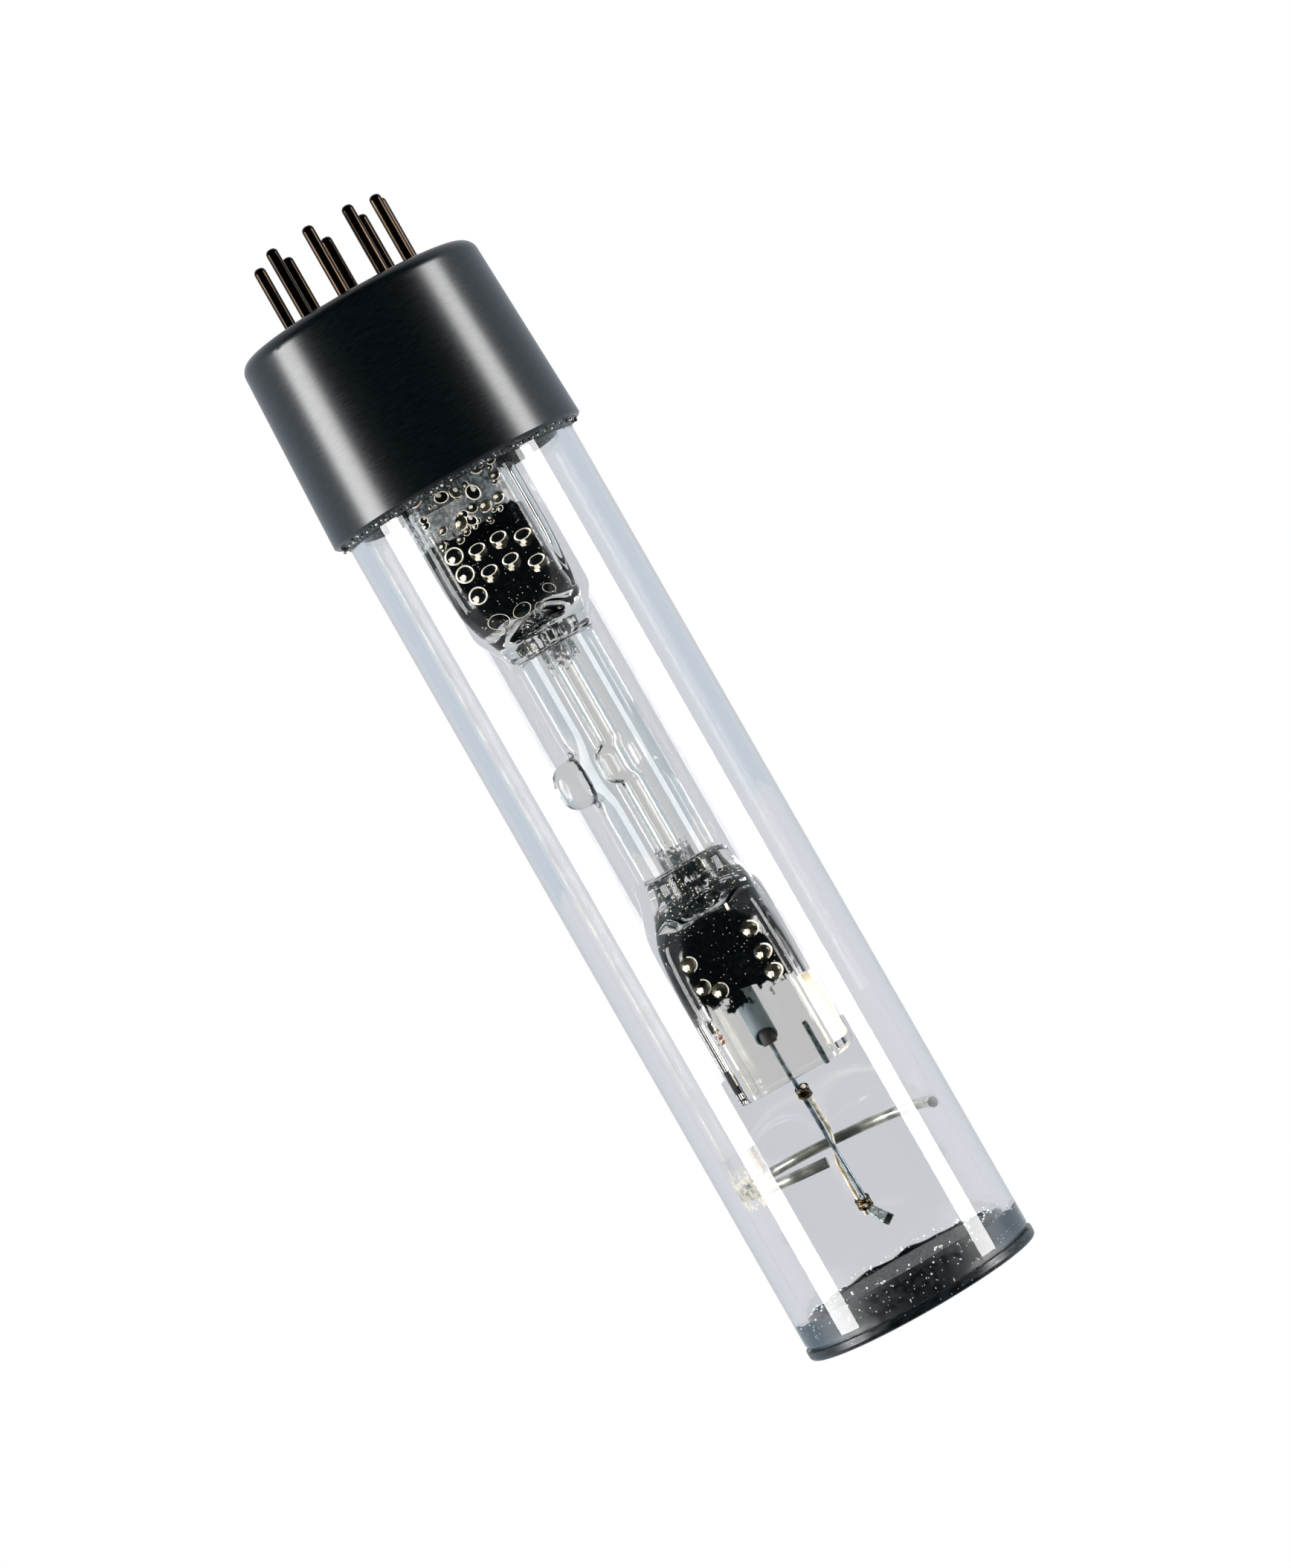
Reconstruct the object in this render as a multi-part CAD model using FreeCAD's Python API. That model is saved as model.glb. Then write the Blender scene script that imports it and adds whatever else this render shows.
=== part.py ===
import FreeCAD, Part
import math
import os
from collections import namedtuple

from FreeCAD import Vector

# Discharge lamp for spectroscopy on a nine-pin plug base. Sizes are in millimetres.
# The lamp stands on its end disc. z is 0 under the disc and grows towards the pins,
# x runs across the side on which the sealed-off tip shows, and y points to the back.

# Clear glass tube round the lamp, long enough for the burner and the wires under it
tube_outer_diameter = 20.5
tube_wall = 1.25
tube_above_burner = 6.35
burner_height = 20.75

# Black disc that closes the tube at the far end from the pins
disc_overhang = 0.15
disc_thickness = 0.85
disc_edge_radius = 0.35
disc_spigot_height = 1.3
disc_spigot_clearance = 0.12

# Black compound poured on the disc inside the tube
compound_height = 1.05
compound_slope = 0.7

# Turned black base round the top of the tube
base_grip = 10.35
base_head = 6.45
base_wall = 0.85
base_taper = 0.6
base_edge_radius = 1.2
base_mouth_radius = 0.2
cement_gap = 0.25
cement_bead_height = 0.45
cement_bead_width = 0.6

# Contact pins, on the pitch of the nine-pin miniature socket with one place left empty
pin_diameter = 1.016
pin_circle_diameter = 11.89
pin_places = 10
pin_empty_place = 4
pin_first_angle = -21.9
pin_length = 6.5
pin_tail = 1.2
pin_tip_radius = 0.4
pin_root_diameter = 1.5
pin_fit = 0.02

# Insulating disc that carries the pins
carrier_rim = 2.25
carrier_recess = 0.3
carrier_thickness = 3.0
carrier_flange_width = 0.6
carrier_flange_thickness = 0.9
carrier_fit = 0.05

# Burner: one glass vessel, a narrow capillary with a wide chamber of rounded square section at each end
capillary_length = 20.55
capillary_diameter = 6.6
capillary_bore = 1.4
chamber_length = 19.15
chamber_width = 9.9
chamber_corner_radius = 2.0
chamber_wall = 1.1
neck_diameter = 7.7
neck_corner_radius = 0.8
upper_shoulder_length = 6.2
lower_shoulder_length = 7.3
upper_floor = 1.7
lower_floor = 2.8
upper_axis_x = -0.36
upper_neck_x = 0.1
capillary_axis_x = 0.3
lower_neck_x = 0.6
lower_axis_x = 0.25
lower_turn = -8.0

# Sealed-off tip where the burner was pumped, at the left of the capillary
tip_reach = 5.9
tip_height = 4.0
tip_nose = 1.3
tip_flare = 0.5
tip_flare_reach = 3.9
tip_pocket_depth = 0.66
tip_pocket_height = 3.4

# Dimpled cup in each chamber, domed towards the capillary
cup_clearance = 0.25
cup_end_gap = 0.5
cup_wall = 0.25
upper_cup_length = 9.0
lower_cup_length = 8.6
lower_cup_slant = 1.9
upper_dimple_columns = 4
lower_dimple_columns = 2
dimple_spread = 5.5
dimple_diameter = 1.4
dimple_root_diameter = 1.7
dimple_pitch = 1.95
dimple_stagger = 1.1
dimple_first_row = 4.15
dimple_fit = 0.03

# Electrode, its lead and the metal sleeve through the glass bead, at each end
bead_depth = 4.6
bead_thickness = 2.0
bead_fit = 0.03
sleeve_diameter = 1.9
sleeve_wall = 0.14
sleeve_end_wall = 0.5
sleeve_rise = 0.8
upper_sleeve_recess = 0.15
lower_sleeve_recess = 3.05
lower_sleeve_cut = 1.6
upper_sleeve_offset = 1.2
lower_sleeve_offset = -0.75
lead_diameter = 0.4
lead_fit = 0.02
lead_bend_radius = 0.8
electrode_depth = 1.2
coil_wire_diameter = 0.4
coil_pitch = 0.6
coil_turns = 2.5

# Ceramic disc that holds the burner in the mouth of the base
holder_thickness = 2.6
holder_fit = 0.05

# Spring ring against the tube and what hangs on it
ring_height = 13.95
ring_wire_diameter = 0.9
ring_clearance = 0.05
ring_start_angle = -10.0
ring_end_angle = 261.9
ring_tilt = 3.5
rod_top_gap = 1.35
rod_bottom_height = 7.3
rod_weld_x = 0.1
rod_bottom_x = -0.7
lead_weld_x = -0.36
lead_bottom_x = -0.14
clip_wall = 0.12
clip_width = 0.5
clip_fit = 0.05
getter_length = 1.9
getter_neck_width = 0.75
getter_mouth_width = 1.0
getter_wall = 0.12
getter_tilt = 34.0
getter_lean = 38.0
getter_overlap = 0.5

# Return lead that runs up the tube wall from the ring to a pin
return_angle = 139.5
return_wire_diameter = 0.5
return_crimp_length = 2.2
return_crimp_wall = 0.15
wire_straight_above_holder = 3.0
wire_straight_below_pin = 1.6

# Length by which a cutting solid runs past what it cuts
overrun = 0.5

# Sizes and places that follow from the ones above
burner_bottom = burner_height
lower_end = burner_bottom + chamber_length
upper_end = lower_end + capillary_length
burner_top = upper_end + chamber_length
tube_radius = tube_outer_diameter / 2
tube_bore_radius = tube_radius - tube_wall
tube_top = burner_top + tube_above_burner
tube_length = tube_top - disc_thickness
base_mouth = tube_top - base_grip
base_top = tube_top + base_head
base_bore_radius = tube_radius + cement_gap
base_mouth_outer = base_bore_radius + base_wall
base_top_outer = base_mouth_outer - base_taper
carrier_radius = pin_circle_diameter / 2 + carrier_rim
carrier_flange_radius = carrier_radius + carrier_flange_width
carrier_top = base_top - carrier_recess
carrier_flange_top = carrier_top - carrier_thickness
carrier_bottom = carrier_flange_top - carrier_flange_thickness
pin_bottom = carrier_bottom - pin_tail
chamber_half = chamber_width / 2
bore_half = chamber_half - chamber_wall
cup_half = bore_half - cup_clearance
cup_space_half = cup_half - cup_wall
lead_radius = lead_diameter / 2
sleeve_radius = sleeve_diameter / 2
ring_radius = tube_bore_radius - ring_clearance - ring_wire_diameter / 2
rod_depth = ring_radius - ring_wire_diameter / 2 - lead_radius - lead_fit
lead_depth = rod_depth - lead_diameter - lead_fit
rod_top = burner_bottom - rod_top_gap
lower_sleeve_bottom = burner_bottom + lower_sleeve_recess

# Each chamber with what it holds: way is 1 for the upper one and -1 for the lower one
Chamber = namedtuple(
    "Chamber", "way end axis_x neck_x turn shoulder floor cup_apex bead_face sleeve_x sleeve_end")


def chamber(way, end, axis_x, neck_x, turn, shoulder, floor, sleeve_offset):
    """Heights run from the chamber's flat end at the capillary towards its open end."""
    cup_apex = end + way * (floor + cup_end_gap)
    bead_face = cup_apex + way * bead_depth
    sleeve_end = bead_face - way * sleeve_rise
    sleeve_x = axis_x + sleeve_offset
    return Chamber(
        way, end, axis_x, neck_x, turn, shoulder, floor, cup_apex, bead_face, sleeve_x, sleeve_end)


upper = chamber(1, upper_end, upper_axis_x, upper_neck_x, 0, upper_shoulder_length,
                upper_floor, upper_sleeve_offset)
lower = chamber(-1, lower_end, lower_axis_x, lower_neck_x, lower_turn, lower_shoulder_length,
                lower_floor, lower_sleeve_offset)

X_AXIS = Vector(1, 0, 0)
Y_AXIS = Vector(0, 1, 0)
Z_AXIS = Vector(0, 0, 1)
ORIGIN = Vector(0, 0, 0)


def spot(radius, height):
    """Point of an outline that is turned about the z axis."""
    return Vector(radius, 0, height)


def turned(outline, centre_x=0.0):
    """Solid turned from an outline of (radius, height) steps.

    A step is a point for a straight line, or a pair of points for an arc.
    """
    edges = []
    here = spot(*outline[0])
    for step in outline[1:] + outline[:1]:
        if isinstance(step, tuple):
            there = spot(*step)
            edges.append(Part.LineSegment(here, there).toShape())
        else:
            there = spot(*step[1])
            edges.append(Part.Arc(here, spot(*step[0]), there).toShape())
        here = there
    solid = Part.Face(Part.Wire(edges)).revolve(ORIGIN, Z_AXIS, 360)
    solid.translate(Vector(centre_x, 0, 0))
    return solid


def edge_round(corner_radius, corner_height, radius, way=1):
    """Arc step over a convex edge, from the side of a turned solid on to its flat end."""
    inset = radius - radius * math.sqrt(0.5)
    return [
        (corner_radius - inset, corner_height - way * inset),
        (corner_radius - radius, corner_height),
    ]


def dome(radius, rise, top, way=1):
    """Arc step from a rim of a radius up to a rounded top on the axis."""
    ball = (radius ** 2 + rise ** 2) / (2 * rise)
    half_turn = math.asin(radius / ball) / 2
    drop = ball * (1 - math.cos(half_turn))
    return [(ball * math.sin(half_turn), top - way * drop), (0, top)]


def widening(near, far, start, end):
    """Two equal arc steps that lead from one radius to another, upright at both ends."""
    half_width = (far - near) / 2
    half_rise = (end - start) / 2
    quarter = half_rise / 2
    radius = (half_rise ** 2 + half_width ** 2) / abs(2 * half_width)
    drift = math.copysign(radius - math.sqrt(radius ** 2 - quarter ** 2), half_width)
    return [
        [(near + drift, start + quarter), (near + half_width, start + half_rise)],
        [(far - drift, end - quarter), (far, end)],
    ]


def rod(start, end, radius):
    """Straight round rod between two points."""
    run = end - start
    return Part.makeCylinder(radius, run.Length, start, run)


def corner_for(half):
    """Corner radius of the rounded square that lies inside or round the chamber's own."""
    return chamber_corner_radius - chamber_half + half


def corner_reach(half):
    """Distance from the middle of a rounded square to the farthest point of its corner."""
    radius = corner_for(half)
    return math.sqrt(2) * (half - radius) + radius


def rounded_square(place, half, centre_x, height):
    """Outline of a chamber's section at a height, turned as the chamber is."""
    radius = corner_for(half)
    flat = half - radius
    bend = radius * math.sqrt(0.5)
    edges = []
    for quarter in range(4):
        side = [
            Part.LineSegment(Vector(half, -flat, 0), Vector(half, flat, 0)).toShape(),
            Part.Arc(Vector(half, flat, 0), Vector(flat + bend, flat + bend, 0),
                     Vector(flat, half, 0)).toShape(),
        ]
        for edge in side:
            edge.rotate(ORIGIN, Z_AXIS, 90 * quarter)
            edges.append(edge)
    outline = Part.Wire(edges)
    outline.rotate(ORIGIN, Z_AXIS, place.turn)
    outline.translate(Vector(centre_x, 0, height))
    return outline


def square_bar(place, half, start, length):
    """Bar of rounded square section on a chamber's axis."""
    outline = rounded_square(place, half, place.axis_x, start)
    return Part.Face(outline).extrude(Z_AXIS * (place.way * length))


def bent_wire(points, radius, bend_radius):
    """Round wire of straight runs joined by tangent arcs."""
    edges = []
    here = points[0]
    for before, corner, after in zip(points, points[1:], points[2:]):
        back = (before - corner).normalize()
        ahead = (after - corner).normalize()
        turn = math.pi - back.getAngle(ahead)
        cut = bend_radius * math.tan(turn / 2)
        arc_start = corner + back * cut
        arc_end = corner + ahead * cut
        inward = (back + ahead).normalize()
        middle = corner + inward * (bend_radius / math.cos(turn / 2) - bend_radius)
        edges.append(Part.LineSegment(here, arc_start).toShape())
        edges.append(Part.Arc(arc_start, middle, arc_end).toShape())
        here = arc_end
    edges.append(Part.LineSegment(here, points[-1]).toShape())
    section = Part.Circle(points[0], points[1] - points[0], radius).toShape()
    return Part.Wire(edges).makePipe(Part.Face(Part.Wire([section])))


def slanted_end(width, length, low, high_at_front, high_at_back):
    """Block under a sloping top, used to cut an end at a slant from front to back."""
    corners = [
        Vector(-width, -length, low),
        Vector(-width, -length, high_at_front),
        Vector(-width, length, high_at_back),
        Vector(-width, length, low),
    ]
    side = Part.Face(Part.makePolygon(corners + corners[:1]))
    return side.extrude(X_AXIS * (2 * width))


def make_outer_tube():
    full = Part.makeCylinder(tube_radius, tube_length)
    bore = Part.makeCylinder(tube_bore_radius, tube_length)
    tube = full.cut(bore)
    tube.translate(Z_AXIS * disc_thickness)
    return tube


def make_end_disc():
    flange_radius = tube_radius + disc_overhang
    spigot_radius = tube_bore_radius - disc_spigot_clearance
    return turned([
        (0, disc_thickness + disc_spigot_height),
        (spigot_radius, disc_thickness + disc_spigot_height),
        (spigot_radius, disc_thickness),
        (flange_radius, disc_thickness),
        (flange_radius, disc_edge_radius),
        edge_round(flange_radius, 0, disc_edge_radius, -1),
        (0, 0),
    ])


def make_end_compound():
    low = disc_thickness + disc_spigot_height
    middle = low + compound_height
    tall = Part.makeCylinder(tube_bore_radius, compound_height + compound_slope)
    tall.translate(Z_AXIS * low)
    front = middle + compound_slope / 2
    back = middle - compound_slope / 2
    return tall.common(slanted_end(tube_radius, tube_bore_radius, low, front, back))


def make_base_shell():
    head_radius = carrier_flange_radius + carrier_fit
    seat_radius = carrier_radius + carrier_fit
    return turned([
        (base_bore_radius, base_mouth),
        (base_mouth_outer - base_mouth_radius, base_mouth),
        (base_mouth_outer, base_mouth + base_mouth_radius),
        (base_top_outer, base_top - base_edge_radius),
        edge_round(base_top_outer, base_top, base_edge_radius),
        (seat_radius, base_top),
        (seat_radius, carrier_flange_top),
        (head_radius, carrier_flange_top),
        (head_radius, tube_top),
        (base_bore_radius, tube_top),
    ])


def pin_spots():
    """Centres of the nine pins, counted round the circle past the empty place."""
    spots = []
    for place in range(pin_places):
        if place == pin_empty_place:
            continue
        angle = math.radians(pin_first_angle - place * 360 / pin_places)
        radius = pin_circle_diameter / 2
        spots.append(Vector(radius * math.cos(angle), radius * math.sin(angle), 0))
    return spots


def nearest_pin(place):
    """Centre of the pin that a wire at a place runs up to."""
    return min(pin_spots(), key=lambda pin: pin.distanceToPoint(place))


def make_pin_carrier():
    disc = turned([
        (0, carrier_bottom),
        (carrier_flange_radius, carrier_bottom),
        (carrier_flange_radius, carrier_flange_top),
        (carrier_radius, carrier_flange_top),
        (carrier_radius, carrier_top),
        (0, carrier_top),
    ])
    hole_radius = pin_root_diameter / 2 + pin_fit
    depth = carrier_top - carrier_bottom
    for place in pin_spots():
        disc = disc.cut(Part.makeCylinder(hole_radius, depth, place + Z_AXIS * carrier_bottom))
    return disc


def make_pin(place):
    """Contact pin with a thicker root that fills its hole in the carrier."""
    radius = pin_diameter / 2
    root_radius = pin_root_diameter / 2
    pin_top = base_top + pin_length
    pin = turned([
        (0, pin_bottom),
        (root_radius, pin_bottom),
        (root_radius, carrier_top),
        (radius, carrier_top),
        (radius, pin_top - pin_tip_radius),
        edge_round(radius, pin_top, pin_tip_radius),
        (0, pin_top),
    ])
    pin.translate(place)
    return pin


def make_tube_cement():
    """Cement between tube and base, with a bead squeezed out under the base."""
    return turned([
        (tube_radius, base_mouth - cement_bead_height),
        (tube_radius, tube_top),
        (base_bore_radius, tube_top),
        (base_bore_radius, base_mouth),
        (tube_radius + cement_bead_width, base_mouth),
    ])


def chamber_blank(place):
    """Outside of one chamber: a round neck, pressed more and more square along the shoulder."""
    neck = neck_diameter / 2
    reach = corner_reach(chamber_half) + abs(place.axis_x - place.neck_x)
    open_end = place.end + place.way * chamber_length
    corner_end = place.end + place.way * neck_corner_radius
    shoulder_end = place.end + place.way * place.shoulder
    blown = turned([
        (0, open_end),
        (reach, open_end),
        (reach, shoulder_end),
        *widening(reach, neck, shoulder_end, corner_end),
        edge_round(neck, place.end, neck_corner_radius, -place.way),
        (0, place.end),
    ], place.neck_x)
    neck_section = rounded_square(place, neck, place.neck_x, place.end)
    chamber_section = rounded_square(place, chamber_half, place.axis_x, shoulder_end)
    taper = Part.makeLoft([neck_section, chamber_section], True, True)
    straight = square_bar(place, chamber_half, shoulder_end, chamber_length - place.shoulder)
    return blown.common(taper.fuse(straight))


def domed_plug(place, apex, half, length):
    """Round-nosed square bar: the space in a chamber, and the outside and inside of a cup."""
    reach = corner_reach(half)
    nose = turned([
        (0, apex + place.way * length),
        (reach, apex + place.way * length),
        (reach, apex + place.way * reach),
        dome(reach, reach, apex, -place.way),
    ], place.axis_x)
    return nose.common(square_bar(place, half, apex, length))


def chamber_space(place):
    floor_height = place.end + place.way * place.floor
    return domed_plug(place, floor_height, bore_half, chamber_length)


def make_burner():
    stem_bottom = Vector(capillary_axis_x, 0, lower_end - overrun)
    stem_top = Vector(capillary_axis_x, 0, upper_end + overrun)
    stem = rod(stem_bottom, stem_top, capillary_diameter / 2)
    glass = chamber_blank(upper).fuse([stem, chamber_blank(lower), make_tip()])
    bore_bottom = stem_bottom - Z_AXIS * lower_floor
    bore_top = stem_top + Z_AXIS * upper_floor
    bore = rod(bore_bottom, bore_top, capillary_bore / 2)
    spaces = [chamber_space(upper), chamber_space(lower), bore, make_tip_pocket()]
    return glass.cut(spaces).removeSplitter()


def tip_centre():
    return Vector(capillary_axis_x, 0, (upper_end + lower_end) / 2)


def make_tip():
    """Rounded lump of glass, turned about a line across the capillary."""
    half = tip_height / 2
    bore = capillary_bore / 2
    blob = turned([
        (0, 0),
        (half + tip_flare, 0),
        (half + tip_flare, bore),
        *widening(half + tip_flare, half, bore, tip_flare_reach),
        (half, tip_reach - tip_nose),
        dome(half, tip_nose, tip_reach),
    ])
    blob.rotate(ORIGIN, Y_AXIS, -90)
    blob.translate(tip_centre())
    return blob


def make_tip_pocket():
    """Hollow that the tip left in the side of the bore."""
    half = tip_pocket_height / 2
    depth = capillary_bore / 2 + tip_pocket_depth
    pocket = turned([
        (0, 0),
        (half, 0),
        dome(half, depth, depth),
    ])
    pocket.rotate(ORIGIN, Y_AXIS, -90)
    pocket.translate(tip_centre())
    slice_corner = Vector(tip_reach, capillary_bore / 2, tip_height)
    slice_box = Part.makeBox(2 * tip_reach, capillary_bore, 2 * tip_height, tip_centre() - slice_corner)
    return pocket.common(slice_box)


def dimple(place, across, height, side):
    """Round boss on the front or the back of a cup, long enough to pass through the gap."""
    start = cup_space_half - cup_wall
    foot = Vector(across, side * start, height)
    outwards = Vector(0, side, 0)
    boss = Part.makeCone(
        dimple_root_diameter / 2, dimple_diameter / 2, bore_half - start, foot, outwards)
    boss.rotate(ORIGIN, Z_AXIS, place.turn)
    boss.translate(Vector(place.axis_x, 0, 0))
    return boss


def make_cup(place, length, columns):
    """Domed cup with columns of dimples that keep it off the chamber wall."""
    bosses = []
    for column in range(columns):
        across = dimple_spread * (column / (columns - 1) - 0.5)
        depth = dimple_first_row
        if 0 < column < columns - 1:
            depth += dimple_stagger
        while depth < length - dimple_root_diameter / 2:
            for side in (-1, 1):
                bosses.append(dimple(place, across, place.cup_apex + place.way * depth, side))
            depth += dimple_pitch
    room = domed_plug(place, place.cup_apex, bore_half - dimple_fit, length)
    studs = bosses[0].fuse(bosses[1:]).common(room)
    outside = domed_plug(place, place.cup_apex, cup_half, length)
    inside = domed_plug(place, place.cup_apex + place.way * cup_wall, cup_space_half, length)
    hole = Part.makeCylinder(capillary_bore / 2, 2 * cup_half)
    hole.translate(Vector(capillary_axis_x, 0, place.cup_apex - cup_half))
    return outside.fuse(studs).cut([inside, hole])


def make_upper_cup():
    return make_cup(upper, upper_cup_length, upper_dimple_columns)


def make_lower_cup():
    """The lower cup has fewer dimples, and its open end is cut at a slant."""
    cup = make_cup(lower, lower_cup_length, lower_dimple_columns)
    rim = lower.cup_apex - lower_cup_length
    waste = slanted_end(chamber_width, chamber_half, rim - overrun, rim, rim + lower_cup_slant)
    waste.rotate(ORIGIN, Z_AXIS, 90)
    waste.translate(Vector(lower_axis_x, 0, 0))
    return cup.cut(waste)


def make_bead(place):
    """Glass bead that carries the sleeve in the middle of the cup."""
    far_face = place.bead_face + place.way * bead_thickness
    bead = square_bar(place, cup_space_half - bead_fit, place.bead_face, bead_thickness)
    hole = rod(Vector(place.sleeve_x, 0, place.bead_face), Vector(place.sleeve_x, 0, far_face),
               sleeve_radius + bead_fit)
    return bead.cut(hole)


def make_sleeve(place, length):
    """Metal sleeve, closed round the lead at its inner end and open at its outer end."""
    inner_end = Vector(place.sleeve_x, 0, place.sleeve_end)
    along = Z_AXIS * place.way
    outside = rod(inner_end, inner_end + along * length, sleeve_radius)
    inside = rod(inner_end + along * sleeve_end_wall, inner_end + along * (length + overrun),
                 sleeve_radius - sleeve_wall)
    hole = rod(inner_end, inner_end + along * length, lead_radius + lead_fit)
    return outside.cut([inside, hole])


def make_upper_sleeve():
    return make_sleeve(upper, burner_top - upper_sleeve_recess - upper.sleeve_end)


def make_lower_sleeve():
    sleeve = make_sleeve(lower, lower.sleeve_end - lower_sleeve_bottom)
    low_edge = lower_sleeve_bottom
    cut_edge = lower_sleeve_bottom + lower_sleeve_cut
    waste = slanted_end(sleeve_diameter, sleeve_radius, low_edge - overrun, cut_edge, low_edge)
    waste.translate(Vector(lower.sleeve_x, 0, 0))
    return sleeve.cut(waste)


def make_electrode(place):
    """Coil of tungsten wire round the inner end of the lead."""
    radius = lead_radius + lead_fit + coil_wire_diameter / 2
    helix = Part.makeHelix(coil_pitch, coil_pitch * coil_turns, radius)
    section = Part.Circle(Vector(radius, 0, 0), Y_AXIS, coil_wire_diameter / 2).toShape()
    coil = Part.Wire(helix).makePipeShell([Part.Wire([section])], True, True)
    if place.way < 0:
        coil.rotate(ORIGIN, X_AXIS, 180)
    coil.translate(Vector(place.sleeve_x, 0, place.cup_apex + place.way * electrode_depth))
    return coil


def make_lower_lead():
    """Wire from the lower electrode out of the sleeve, past the ring to the getter tube."""
    return bent_wire([
        Vector(lower.sleeve_x, 0, lower.cup_apex - electrode_depth),
        Vector(lower.sleeve_x, 0, lower_sleeve_bottom),
        Vector(lead_weld_x, lead_depth, ring_height + ring_wire_diameter),
        Vector(lead_bottom_x, lead_depth, rod_bottom_height),
    ], lead_radius, lead_bend_radius)


def lower_lead_at(height):
    """Centre of the slanting stretch of the lower lead at a height."""
    bottom = ring_height + ring_wire_diameter
    share = (lower_sleeve_bottom - height) / (lower_sleeve_bottom - bottom)
    across = lower.sleeve_x + share * (lead_weld_x - lower.sleeve_x)
    return Vector(across, share * lead_depth, height)


def make_support_rod():
    """Second wire, from the clip on the lead, behind it past the ring, to the lower clip."""
    beside = Vector(lead_diameter + 2 * lead_fit, 0, 0)
    return bent_wire([
        lower_lead_at(rod_top) + beside,
        Vector(rod_weld_x, rod_depth, ring_height + ring_wire_diameter),
        Vector(rod_bottom_x, rod_depth, ring_height - 2 * ring_wire_diameter),
        Vector(rod_bottom_x, rod_depth, rod_bottom_height),
    ], lead_radius, lead_bend_radius)


def clip_round(first, second, direction):
    """Flat band pinched round two wires that run side by side."""
    along = Vector(direction).normalize()
    across = second - first
    across = (across - along * across.dot(along)).normalize()
    up = along.cross(across)
    middle = (first + second) / 2
    half = (second - first).dot(across) / 2

    def loop(radius):
        corners = [
            middle - across * half + up * radius,
            middle + across * half + up * radius,
            middle + across * half - up * radius,
            middle - across * half - up * radius,
        ]
        right = middle + across * (half + radius)
        left = middle - across * (half + radius)
        edges = [
            Part.LineSegment(corners[0], corners[1]).toShape(),
            Part.Arc(corners[1], right, corners[2]).toShape(),
            Part.LineSegment(corners[2], corners[3]).toShape(),
            Part.Arc(corners[3], left, corners[0]).toShape(),
        ]
        return Part.Face(Part.Wire(edges)).extrude(along * clip_width)

    inside = lead_radius + clip_fit
    band = loop(inside + clip_wall).cut(loop(inside))
    band.translate(along * (-clip_width / 2))
    return band


def make_upper_clip():
    height = rod_top - clip_width
    first = lower_lead_at(height)
    direction = lower_lead_at(rod_bottom_height) - first
    second = first + Vector(lead_diameter + 2 * lead_fit, 0, 0)
    return clip_round(first, second, direction)


def make_lower_clip():
    height = rod_bottom_height + getter_overlap + clip_width
    first = Vector(lead_bottom_x, lead_depth, height)
    second = Vector(rod_bottom_x, rod_depth, height)
    return clip_round(first, second, -Z_AXIS)


def make_getter_tube():
    """Small tube pinched on the end of the lead, its open end towards the right and the front."""
    def tapered(shrink, start):
        wires = []
        for drop, width in ((start, getter_neck_width), (getter_length, getter_mouth_width)):
            half = width / 2 - shrink
            corners = [
                Vector(-half, -half, -drop),
                Vector(half, -half, -drop),
                Vector(half, half, -drop),
                Vector(-half, half, -drop),
            ]
            wires.append(Part.makePolygon(corners + corners[:1]))
        return Part.makeLoft(wires, True, True)

    body = tapered(0, 0)
    upright = []
    for edge in body.Edges:
        if edge.BoundBox.ZLength > getter_length / 2:
            upright.append(edge)
    body = body.makeFillet(getter_wall, upright)
    body = body.cut(tapered(getter_wall, getter_overlap + getter_wall))
    body.rotate(ORIGIN, X_AXIS, -getter_lean)
    body.rotate(ORIGIN, Y_AXIS, -getter_tilt)
    body.translate(Vector(lead_bottom_x, lead_depth, rod_bottom_height + getter_overlap / 2))
    lead_end = Vector(lead_bottom_x, lead_depth, rod_bottom_height)
    room = Part.makeCylinder(lead_radius + clip_fit, 2 * getter_length, lead_end - Z_AXIS * clip_fit)
    return body.cut(room)


def make_support_ring():
    """Open ring of spring wire that sits a little askew in the tube."""
    sweep = ring_end_angle - ring_start_angle
    ring = Part.makeTorus(ring_radius, ring_wire_diameter / 2, ORIGIN, Z_AXIS, 0, 360, sweep)
    ring.rotate(ORIGIN, Z_AXIS, ring_start_angle)
    ring.rotate(ORIGIN, Y_AXIS, ring_tilt)
    ring.translate(Z_AXIS * ring_height)
    return ring


def return_place():
    turn = math.radians(return_angle)
    return Vector(ring_radius * math.cos(turn), ring_radius * math.sin(turn), 0)


def return_bottom():
    """Height of the return lead's lower end, on top of the askew ring."""
    tilt = math.radians(ring_tilt)
    ring_top = ring_wire_diameter / 2 / math.cos(tilt)
    wire_dip = (return_wire_diameter / 2 + return_crimp_wall + lead_fit) * math.tan(tilt)
    return ring_height - return_place().x * math.tan(tilt) + ring_top + wire_dip + lead_fit


def make_return_lead():
    place = return_place()
    pin = nearest_pin(place)
    bottom = return_bottom()
    return bent_wire([
        place + Z_AXIS * bottom,
        place + Z_AXIS * (burner_top + wire_straight_above_holder),
        pin + Z_AXIS * (pin_bottom - wire_straight_below_pin),
        pin + Z_AXIS * (pin_bottom - lead_fit),
    ], return_wire_diameter / 2, lead_bend_radius)


def make_return_crimp():
    bottom = return_bottom()
    inside = return_wire_diameter / 2 + lead_fit
    low = return_place() + Z_AXIS * bottom
    outer = Part.makeCylinder(inside + return_crimp_wall, return_crimp_length, low)
    return outer.cut(Part.makeCylinder(inside, return_crimp_length, low))


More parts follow.
